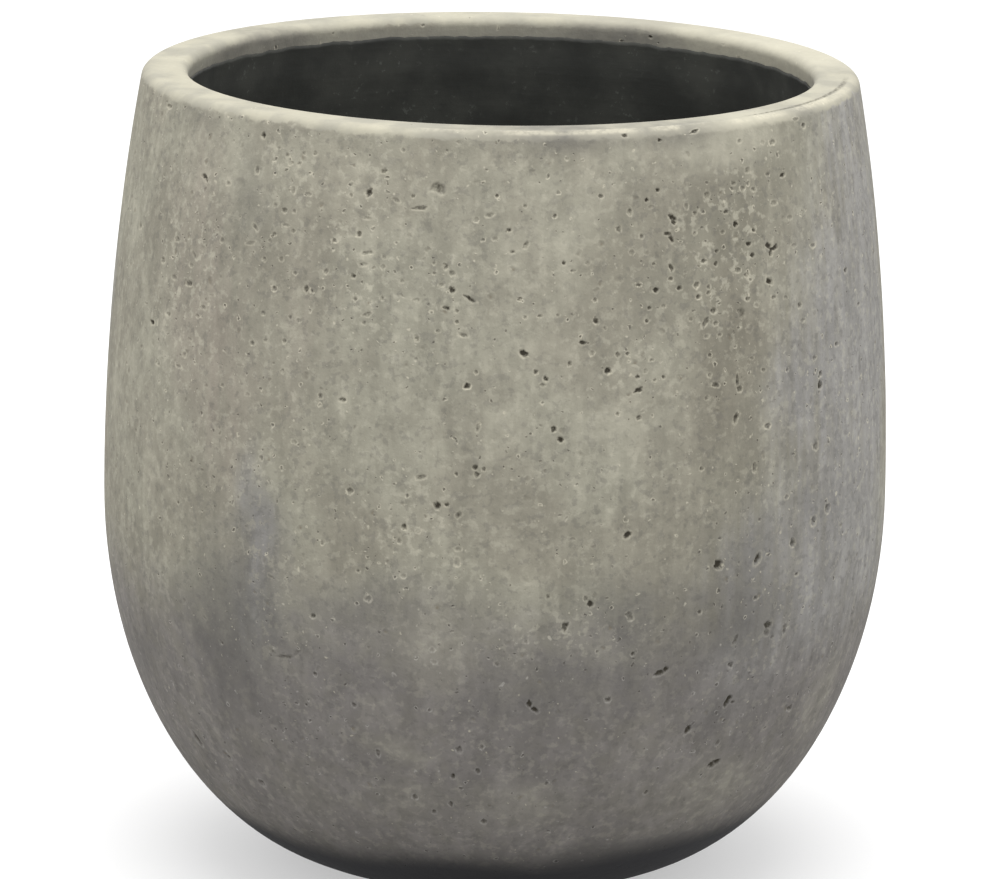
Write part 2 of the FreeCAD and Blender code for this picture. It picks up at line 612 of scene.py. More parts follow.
    # Relief that is too fine for the mesh
    lump: Grain = Grain(4.5 * MM, 3, 0.5)
    lump_height: float = 0.32 * MM
    sand: Grain = Grain(1.0 * MM, 2, 0.6)
    sand_height: float = 0.1 * MM
    rim_calm: Ramp = Ramp(0.4, 0.8, 1, 0.45)

    def strewn(self, graph: Graph) -> list[StrewnMarks]:
        """Every kind of marks, closer together in some places and rare on the rim.

        Args:
            graph: The material's graph.

        Returns:
            The marks, found in this material.
        """
        place = self.unsteady(graph)
        gathered = graph.span(graph.noise(self.gathering), self.gathering_ramp)
        raw = graph.times(graph.film(Film.RAW), self.raw_gathering)
        off_rim = graph.span(graph.film(Film.RIM), self.rim_gathering)
        clusters = graph.times(graph.plus(gathered, raw), off_rim)
        torn = graph.span(graph.noise(self.lip_tear), self.lip_tear_ramp)
        kinds = (self.grains, self.crumbs, self.dents, self.pits, self.pinholes)
        return [kind.find(graph, place, clusters, torn) for kind in kinds]

    def unsteady(self, graph: Graph) -> NodeSocket:
        """Object coordinates, nudged about so that round marks turn uneven.

        Args:
            graph: The material's graph.

        Returns:
            The coordinates.
        """
        place = graph.place()
        nudge = graph.node("TexNoise", {"Vector": place, "Scale": 1 / self.nudge_size, "Detail": 1.0})
        middle = (0.5, 0.5, 0.5)
        centred = graph.node("VectorMath", {0: nudge.outputs["Color"], 1: middle}, operation="SUBTRACT")
        scaling = {0: centred.outputs["Vector"], "Scale": self.nudge_reach}
        small = graph.node("VectorMath", scaling, operation="SCALE")
        moved = graph.node("VectorMath", {0: place, 1: small.outputs["Vector"]}, operation="ADD")
        return moved.outputs["Vector"]

    def colour(self, graph: Graph, strewn: Sequence[StrewnMarks]) -> NodeSocket:
        """The stone's colour, from the clean face to what lies on it, with the painted light and shade.

        Args:
            graph: The material's graph.
            strewn: The marks.

        Returns:
            The colour socket.
        """
        cloud = graph.noise(self.cloud)
        fleck = graph.noise(self.fleck)
        streak = graph.noise(self.streak)
        tears = {
            Tear.RAGGED: graph.span(graph.plus(cloud, fleck), self.ragged),
            Tear.COMBED: graph.span(graph.plus(cloud, streak), self.combed),
        }
        colour = graph.mix(graph.span(cloud, self.cloud_ramp), self.face_dim, self.face)
        for stain in self.under_stains:
            colour = self.stained(graph, colour, stain, tears)
        colour = graph.toned(colour, graph.noise(self.scrape), self.scrape_tone)
        colour = graph.mix(self.limed(graph), colour, self.bloom_and_painted_light)
        colour = graph.mix(graph.span(graph.noise(self.dirt), self.dirt_ramp), colour, self.shade)
        colour = graph.toned(colour, graph.noise(self.run), self.run_tone)
        colour = graph.toned(colour, streak, self.streak_tone)
        colour = graph.toned(colour, fleck, self.fleck_tone)
        colour = self.rimmed(graph, colour)
        for stain in self.over_stains:
            colour = self.stained(graph, colour, stain, tears)
        crust = graph.mix(graph.film(Film.TIDE), self.crust, self.crust_low)
        colour = self.marked(graph, colour, strewn, crust)
        colour = graph.toned(colour, graph.noise(self.grit), self.grit_tone)
        # Painted shade along the base
        colour = graph.mix(graph.film(Film.PAINTED_BASE_SHADE), colour, self.painted_base_shade)
        broken = graph.span(graph.noise(self.crumble), self.crumble_ramp)
        # Pale crust round the pores and on the rim's edge, with painted light under each pore and a
        # painted highlight on the edge
        colour = graph.mix(graph.times(graph.film(Film.CRUST_AND_PAINTED_LIGHT), broken), colour, crust)
        return graph.mix(self.pitted(graph), colour, self.pore)

    def stained(
        self, graph: Graph, colour: NodeSocket, stain: Stain, tears: dict[Tear, NodeSocket]
    ) -> NodeSocket:
        """Lay on one stain, or one patch of painted light or painted shade, with torn edges.

        Args:
            graph: The material's graph.
            colour: The stone's colour so far.
            stain: The stain.
            tears: What moves the edges of stains, by kind.

        Returns:
            The stained colour.
        """
        measure = graph.film(stain.film)
        edge = graph.times(tears[stain.tear], graph.span(measure, self.stain_edge))
        share = graph.span(graph.plus(measure, edge), Ramp(0, 1, 0, stain.most, soft=False))
        return graph.mix(share, colour, stain.colour)

    def limed(self, graph: Graph) -> NodeSocket:
        """How much lime shows: the most where the face is raw, and less under the tide line.

        Args:
            graph: The material's graph.

        Returns:
            The lime's share.
        """
        lime = graph.span(graph.noise(self.lime), self.lime_ramp)
        lime = graph.times(lime, graph.span(graph.film(Film.RAW), self.lime_where_raw))
        return graph.times(lime, graph.span(graph.film(Film.TIDE), self.lime_below_tide))

    def rimmed(self, graph: Graph, colour: NodeSocket) -> NodeSocket:
        """The rubbed rim, pale and dull by turns, with an uneven edge, and its lip inside.

        Args:
            graph: The material's graph.
            colour: The stone's colour so far.

        Returns:
            The colour with the rim.
        """
        uneven = graph.span(graph.noise(self.rim_edge), self.rim_wander)
        dull = graph.span(graph.noise(self.rim_cloud), self.rim_cloud_ramp)
        pale = graph.mix(dull, self.rim, self.rim_dull)
        pale = graph.toned(pale, graph.noise(self.rim_fleck), self.rim_fleck_tone)
        level = graph.plus(graph.film(Film.RIM), uneven)
        colour = graph.mix(graph.span(level, self.rim_ramp), colour, pale)
        inside = graph.plus(graph.film(Film.LIP), graph.times(uneven, self.lip_wander))
        return graph.mix(graph.span(inside, self.lip_ramp), colour, self.lip)

    def marked(
        self, graph: Graph, colour: NodeSocket, strewn: Sequence[StrewnMarks], crust: NodeSocket
    ) -> NodeSocket:
        """Lay the strewn marks on, each with its heart and its lip.

        Args:
            graph: The material's graph.
            colour: The stone's colour so far.
            strewn: The marks.
            crust: The colour of their lips.

        Returns:
            The colour with the marks.
        """
        for marks in strewn:
            kind = marks.kind
            colour = graph.mix(graph.times(marks.heart, kind.heart_most), colour, kind.heart)
            if kind.lip_most:
                colour = graph.mix(graph.times(marks.lip, kind.lip_most), colour, crust)
        return colour

    def pitted(self, graph: Graph) -> NodeSocket:
        """How dark the pores are, with frayed edges.

        Args:
            graph: The material's graph.

        Returns:
            The share of the pores' colour.
        """
        pit = graph.film(Film.PIT)
        frayed = graph.span(graph.noise(self.fray), self.fray_ramp)
        pit = graph.plus(pit, graph.times(frayed, graph.span(pit, self.fray_edge)))
        return graph.span(pit, Ramp(0, 1, soft=False))

    def relief(self, graph: Graph, strewn: Sequence[StrewnMarks]) -> NodeSocket:
        """What is too fine for the mesh: lumps of a few millimetres, sand and the strewn marks.

        Args:
            graph: The material's graph.
            strewn: The marks.

        Returns:
            The normal socket.
        """
        lumps = graph.times(graph.noise(self.lump), self.lump_height)
        sand = graph.times(graph.noise(self.sand), self.sand_height)
        height = graph.plus(lumps, sand)
        for marks in strewn:
            if marks.kind.depth:
                sunk = graph.times(marks.hollow, marks.kind.depth)
                height = graph.math("SUBTRACT", height, sunk)
        calm = graph.span(graph.film(Film.RIM), self.rim_calm)
        return graph.bump(height, 1.0, calm)

    def material(self) -> Material:
        """Build the finish.

        Returns:
            The material.
        """
        material, graph = material_graph("cast_stone")
        strewn = self.strewn(graph)
        inputs = {
            "Base Color": self.colour(graph, strewn),
            "Roughness": self.roughness,
            "Specular IOR Level": self.specular,
            "Normal": self.relief(graph, strewn),
        }
        graph.surface(graph.node("BsdfPrincipled", inputs).outputs["BSDF"])
        return material


@dataclass(frozen=True)
class BrushedSeal:
    """Dark waterproof coat, laid on with a wide brush and dusty in places."""

    edge_film: str = "coat_edge"
    coat: Colour = srgb(55, 56, 53)
    thin: Colour = srgb(70, 71, 66)
    dust: Colour = srgb(112, 115, 109)
    stone: Colour = srgb(84, 82, 75)
    specular: float = 0.35
    sheen: Ramp = Ramp(0.3, 0.7, 0.55, 0.75)
    brush: Grain = Grain(60 * MM, 5, 0.65, (1, 1, 9))
    brush_tone: Ramp = tone(0.3, 0.7, 0.07)
    brush_depth: float = 0.35 * MM
    cloud: Grain = Grain(30 * MM, 4, 0.6)
    thin_ramp: Ramp = Ramp(0.35, 0.7)
    speck: Grain = Grain(3.5 * MM, 3, 0.7)
    speck_ramp: Ramp = Ramp(0.6, 0.68)
    speck_places: Ramp = Ramp(0.42, 0.6, 0.02, 0.35)
    speck_depth: float = 0.15 * MM
    relief_strength: float = 0.5
    dry_wander: Ramp = wander(0.3, 0.7, 0.35)
    dry_ramp: Ramp = Ramp(0.7, 1.35, 0, 0.5)

    def material(self) -> Material:
        """Build the finish.

        Returns:
            The material.
        """
        material, graph = material_graph("seal_coat")
        brush = graph.noise(self.brush)
        cloud = graph.noise(self.cloud)
        speck = graph.noise(self.speck)
        colour = graph.mix(graph.span(cloud, self.thin_ramp), self.coat, self.thin)
        colour = graph.toned(colour, brush, self.brush_tone)
        dusty = graph.times(graph.span(speck, self.speck_ramp), graph.span(cloud, self.speck_places))
        colour = graph.mix(dusty, colour, self.dust)
        dry = graph.plus(graph.attribute(self.edge_film), graph.span(speck, self.dry_wander))
        colour = graph.mix(graph.span(dry, self.dry_ramp), colour, self.stone)
        specks = graph.bump(speck, self.speck_depth, self.relief_strength)
        inputs = {
            "Base Color": colour,
            "Roughness": graph.span(cloud, self.sheen),
            "Specular IOR Level": self.specular,
            "Normal": graph.bump(brush, self.brush_depth, self.relief_strength, specks),
        }
        graph.surface(graph.node("BsdfPrincipled", inputs).outputs["BSDF"])
        return material


@dataclass(frozen=True)
class MatteRubber:
    """Filled black rubber with a fine moulded or cut face."""

    name: str
    rubber: Colour
    worn: Colour
    grain: Grain
    roughness: Ramp = Ramp(0.3, 0.7, 0.62, 0.77)
    specular: float = 0.4
    cloud: Grain = Grain(8 * MM, 4, 0.6)
    worn_ramp: Ramp = Ramp(0.4, 0.75)
    grain_tone: Ramp = tone(0.3, 0.7, 0.15)
    grain_depth: float = 0.08 * MM
    relief_strength: float = 0.6

    def material(self) -> Material:
        """Build the finish.

        Returns:
            The material.
        """
        material, graph = material_graph(self.name)
        cloud = graph.noise(self.cloud)
        grain = graph.noise(self.grain)
        colour = graph.mix(graph.span(cloud, self.worn_ramp), self.rubber, self.worn)
        colour = graph.toned(colour, grain, self.grain_tone)
        inputs = {
            "Base Color": colour,
            "Roughness": graph.span(cloud, self.roughness),
            "Specular IOR Level": self.specular,
            "Normal": graph.bump(grain, self.grain_depth, self.relief_strength),
        }
        graph.surface(graph.node("BsdfPrincipled", inputs).outputs["BSDF"])
        return material


@dataclass(frozen=True)
class PotShape:
    """The casting's half section."""

    belly_radius: float
    foot_z: float
    rim_z: float
    belly_height: float = 163 * MM
    rim_draw_in: float = 16.7 * MM
    foot_radius: float = 62 * MM
    wall: float = 20 * MM
    floor: float = 24 * MM
    cavity_floor_radius: float = 55 * MM
    drain_radius: float = 12 * MM
    foot_ring: float = 22 * MM
    recess_depth: float = 4 * MM
    recess_round: float = 1.5 * MM
    rim_outer_round: float = 5 * MM
    rim_inner_round: float = 4 * MM

    @classmethod
    def of_frame(cls) -> "PotShape":
        """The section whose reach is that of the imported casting."""
        low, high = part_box("pot_body")
        return cls(belly_radius=(high.x - low.x) / 2, foot_z=low.z, rim_z=high.z)

    @property
    def belly_z(self) -> float:
        """The height of the widest level."""
        return self.foot_z + self.belly_height

    @property
    def floor_z(self) -> float:
        """The height of the floor inside."""
        return self.foot_z + self.floor

    @property
    def upper_round(self) -> float:
        """The radius of the arc that is upright at the belly and drawn in at the rim."""
        rise = self.rim_z - self.belly_z
        return (self.rim_draw_in**2 + rise**2) / (2 * self.rim_draw_in)

    def radius(self, z: float) -> float:
        """How far the outside is from the axis at that height.

        Args:
            z: The height.

        Returns:
            The radius.
        """
        if z > self.belly_z:
            return self.wall_point(0, z).x
        drop = min(1.0, (self.belly_z - z) / self.belly_height)
        return self.foot_radius + (self.belly_radius - self.foot_radius) * math.sqrt(1 - drop**2)

    def wall_point(self, inset: float, z: float) -> Vector:
        """The point at height z, over the belly, of the wall that lies inset from the outside."""
        reach = math.sqrt((self.upper_round - inset) ** 2 - (z - self.belly_z) ** 2)
        return Vector((self.belly_radius - self.upper_round + reach, 0, z))

    def wall_points(self, inset: float, top: float, count: int) -> list[Vector]:
        """Points up that wall from just over the belly to the height top.

        Args:
            inset: How far the wall lies in from the outside.
            top: The height of the last point.
            count: How many points there are.

        Returns:
            The points, from the belly up.
        """
        rise = top - self.belly_z
        heights = [self.belly_z + rise * step / count for step in range(1, count + 1)]
        return [self.wall_point(inset, height) for height in heights]

    def base_points(self, inset: float, foot_radius: float, foot_z: float, count: int) -> list[Vector]:
        """Points along the quarter ellipse from a flat foot to the belly.

        Args:
            inset: How far the belly lies in from the outside.
            foot_radius: Where the flat foot ends.
            foot_z: The height of that foot.
            count: How many stretches the curve has.

        Returns:
            The points, from the foot up.
        """
        reach = self.belly_radius - inset - foot_radius
        turns = [math.pi / 2 * step / count for step in range(count + 1)]
        return [
            Vector(
                (
                    foot_radius + reach * math.sin(turn),
                    0,
                    self.belly_z - (self.belly_z - foot_z) * math.cos(turn),
                )
            )
            for turn in turns
        ]


def soft_corner(before: Vector, corner: Vector, after: Vector, radius: float, count: int) -> list[Vector]:
    """An arc that rounds a corner of an outline.

    Args:
        before: A point on the run that comes in.
        corner: The sharp corner.
        after: A point on the run that goes out.
        radius: The arc's radius.
        count: How many stretches the arc has.

    Returns:
        The arc's points.
    """
    inward = (before - corner).normalized()
    outward = (after - corner).normalized()
    half = inward.angle(outward) / 2
    centre = corner + (inward + outward).normalized() * radius / math.sin(half)
    start = corner + inward * radius / math.tan(half) - centre
    end = corner + outward * radius / math.tan(half) - centre
    return [centre + start.slerp(end, step / count) * radius for step in range(count + 1)]


def between(first: Vector, last: Vector, count: int) -> list[Vector]:
    """The points that cut a straight run into count stretches, without its ends."""
    return [first.lerp(last, step / count) for step in range(1, count)]


def spun(outline: Sequence[Vector], steps: int) -> BMesh:
    """Turn a closed half section about the pot's axis.

    Args:
        outline: The section's points in turn.
        steps: How many stretches a full turn has.

    Returns:
        The closed mesh, with its faces outwards.
    """
    mesh = bmesh.new()
    ring = [mesh.verts.new(point) for point in outline]
    edges = [mesh.edges.new(pair) for pair in zip(ring, ring[1:] + ring[:1])]
    bmesh.ops.spin(
        mesh,
        geom=ring + edges,
        cent=(0, 0, 0),
        axis=(0, 0, 1),
        angle=math.tau,
        steps=steps,
        use_merge=True,
    )
    bmesh.ops.remove_doubles(mesh, verts=mesh.verts, dist=SAME_PLACE)
    bmesh.ops.recalc_face_normals(mesh, faces=mesh.faces)
    return mesh


def finished(mesh: BMesh, name: str, body: str, material: Material) -> Object:
    """Make a piece of a mesh, dressed and carried by a body.

    Args:
        mesh: The mesh, which is used up.
        name: The piece's name.
        body: The body that carries it.
        material: Its finish.

    Returns:
        The piece.
    """
    data = bpy.data.meshes.new(name)
    mesh.to_mesh(data)
    mesh.free()
    data.shade_smooth()
    data.materials.append(material)
    piece = bpy.data.objects.new(name, data)
    bpy.context.scene.collection.objects.link(piece)
    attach(piece, body)
    return piece


@dataclass(frozen=True)
class SeenPore:
    """A pore in the photograph: its middle and size in pixels, its lean in degrees, and its tones."""

    x: float
    y: float
    wide: float = 4
    tall: float = 4
    lean: float = 0
    ring: float = 0.6
    dark: float = 1

    def darkness(self) -> float:
        """How dark it is inside: small pores and those with a pale ring are the least so.

        Returns:
            The darkness.
        """
        by_size = min(1.0, 0.15 + 0.12 * min(self.wide, self.tall))
        by_ring = 1.2 - 0.45 * self.ring
        return self.dark * by_size * by_ring


@dataclass(frozen=True)
class Pore:
    """A pore in the pot's face: half sizes along its own two directions, a depth and its tones.

    The stretches count from its middle, and its uneven edge as 1.
    """

    centre: Vector
    across: Vector
    along: Vector
    half_wide: float
    half_tall: float
    depth: float
    ring: float
    dark: float
    seed: float
    finest_grid: float = 0.54 * MM
    coarsest_grid: float = 0.8 * MM
    lobes: float = 0.42
    crumbs: float = 0.16
    crumb_size: float = 0.9 * MM
    ring_breaks: float = 1.1 * MM
    dark_fall: tuple[float, float] = (0.5, 1.1)
    ring_rise: tuple[float, float] = (0.9, 1.15)
    ring_fall: tuple[float, float] = (1.2, 1.8)

    @property
    def reach(self) -> float:
        """How far from its middle it changes the face, with its pale ring."""
        return 1.3 * max(self.half_wide, self.half_tall) + 0.3 * MM

    @property
    def grid(self) -> float:
        """The longest edge that still shows its shape."""
        wanted = 0.45 * min(self.half_wide, self.half_tall)
        return min(self.coarsest_grid, max(self.finest_grid, wanted))

    def nearness(self, point: Vector) -> float:
        """0 in its middle, 1 on its uneven edge, and more outside.

        Args:
            point: A place on the face.

        Returns:
            The nearness.
        """
        offset = point - self.centre
        wide = offset.dot(self.across) / self.half_wide
        tall = offset.dot(self.along) / self.half_tall
        turn = math.atan2(tall, wide)
        lobe = noise.noise(Vector((1.3 * math.cos(turn), 1.3 * math.sin(turn), self.seed)))
        crumb = noise.noise(point * (1 / self.crumb_size) + Vector((self.seed, 0, 0)))
        return math.hypot(wide, tall) * (1 + self.lobes * lobe + self.crumbs * crumb)

    def sink(self, near: float) -> float:
        """How deep it is at a nearness under 1."""
        return self.depth * math.sqrt(1 - near * near)

    def darkness(self, near: float) -> float:
        """How dark it is at a nearness."""
        return self.dark * (1 - eased(near, *self.dark_fall))

    def paleness(self, point: Vector, near: float) -> float:
        """How pale its ring is there: broken, and stronger under the pore than over it, which is painted
        light for the lower lip that light from above catches.

        Args:
            point: A place on the face.
            near: Its nearness.

        Returns:
            The paleness, from 0 to 1.
        """
        offset = point - self.centre
        # Painted light: the ring is paler on its lower side, as if lit from above
        lower = 0.5 - 0.5 * offset.normalized().z
        broken = 0.75 + 0.7 * noise.noise(offset * (1 / self.ring_breaks) + Vector((0, self.seed, 0)))
        glow = self.ring * min(1.0, max(0.0, broken * (0.4 + 0.9 * lower)))
        return glow * plateau(near, self.ring_rise, self.ring_fall)


@dataclass(frozen=True)
class SeenPatch:
    """A stain in the photograph, or a patch of painted light or painted shade: its middle as a pixel, its
    half sizes on the pot and its strength.
    """

    film: Film
    x: float
    y: float
    half_wide: float
    half_tall: float
    strength: float = 1


@dataclass(frozen=True)
class Patch:
    """A stain, or a patch of painted light or painted shade, on the pot, about its axis and up its height.
    """

    azimuth: float
    z: float
    half_wide: float
    half_tall: float
    strength: float
    edge_power: float = 1.6

    def weight(self, turn: float, radius: float, z: float) -> float:
        """How strong the stain is at a place on the face.

        Args:
            turn: Where the place is about the axis.
            radius: How far it is from the axis.
            z: Its height.

        Returns:
            The strength.
        """
        wide = around(turn, self.azimuth) * radius / self.half_wide
        tall = (z - self.z) / self.half_tall
        return self.strength * math.exp(-((wide**2 + tall**2) ** self.edge_power))


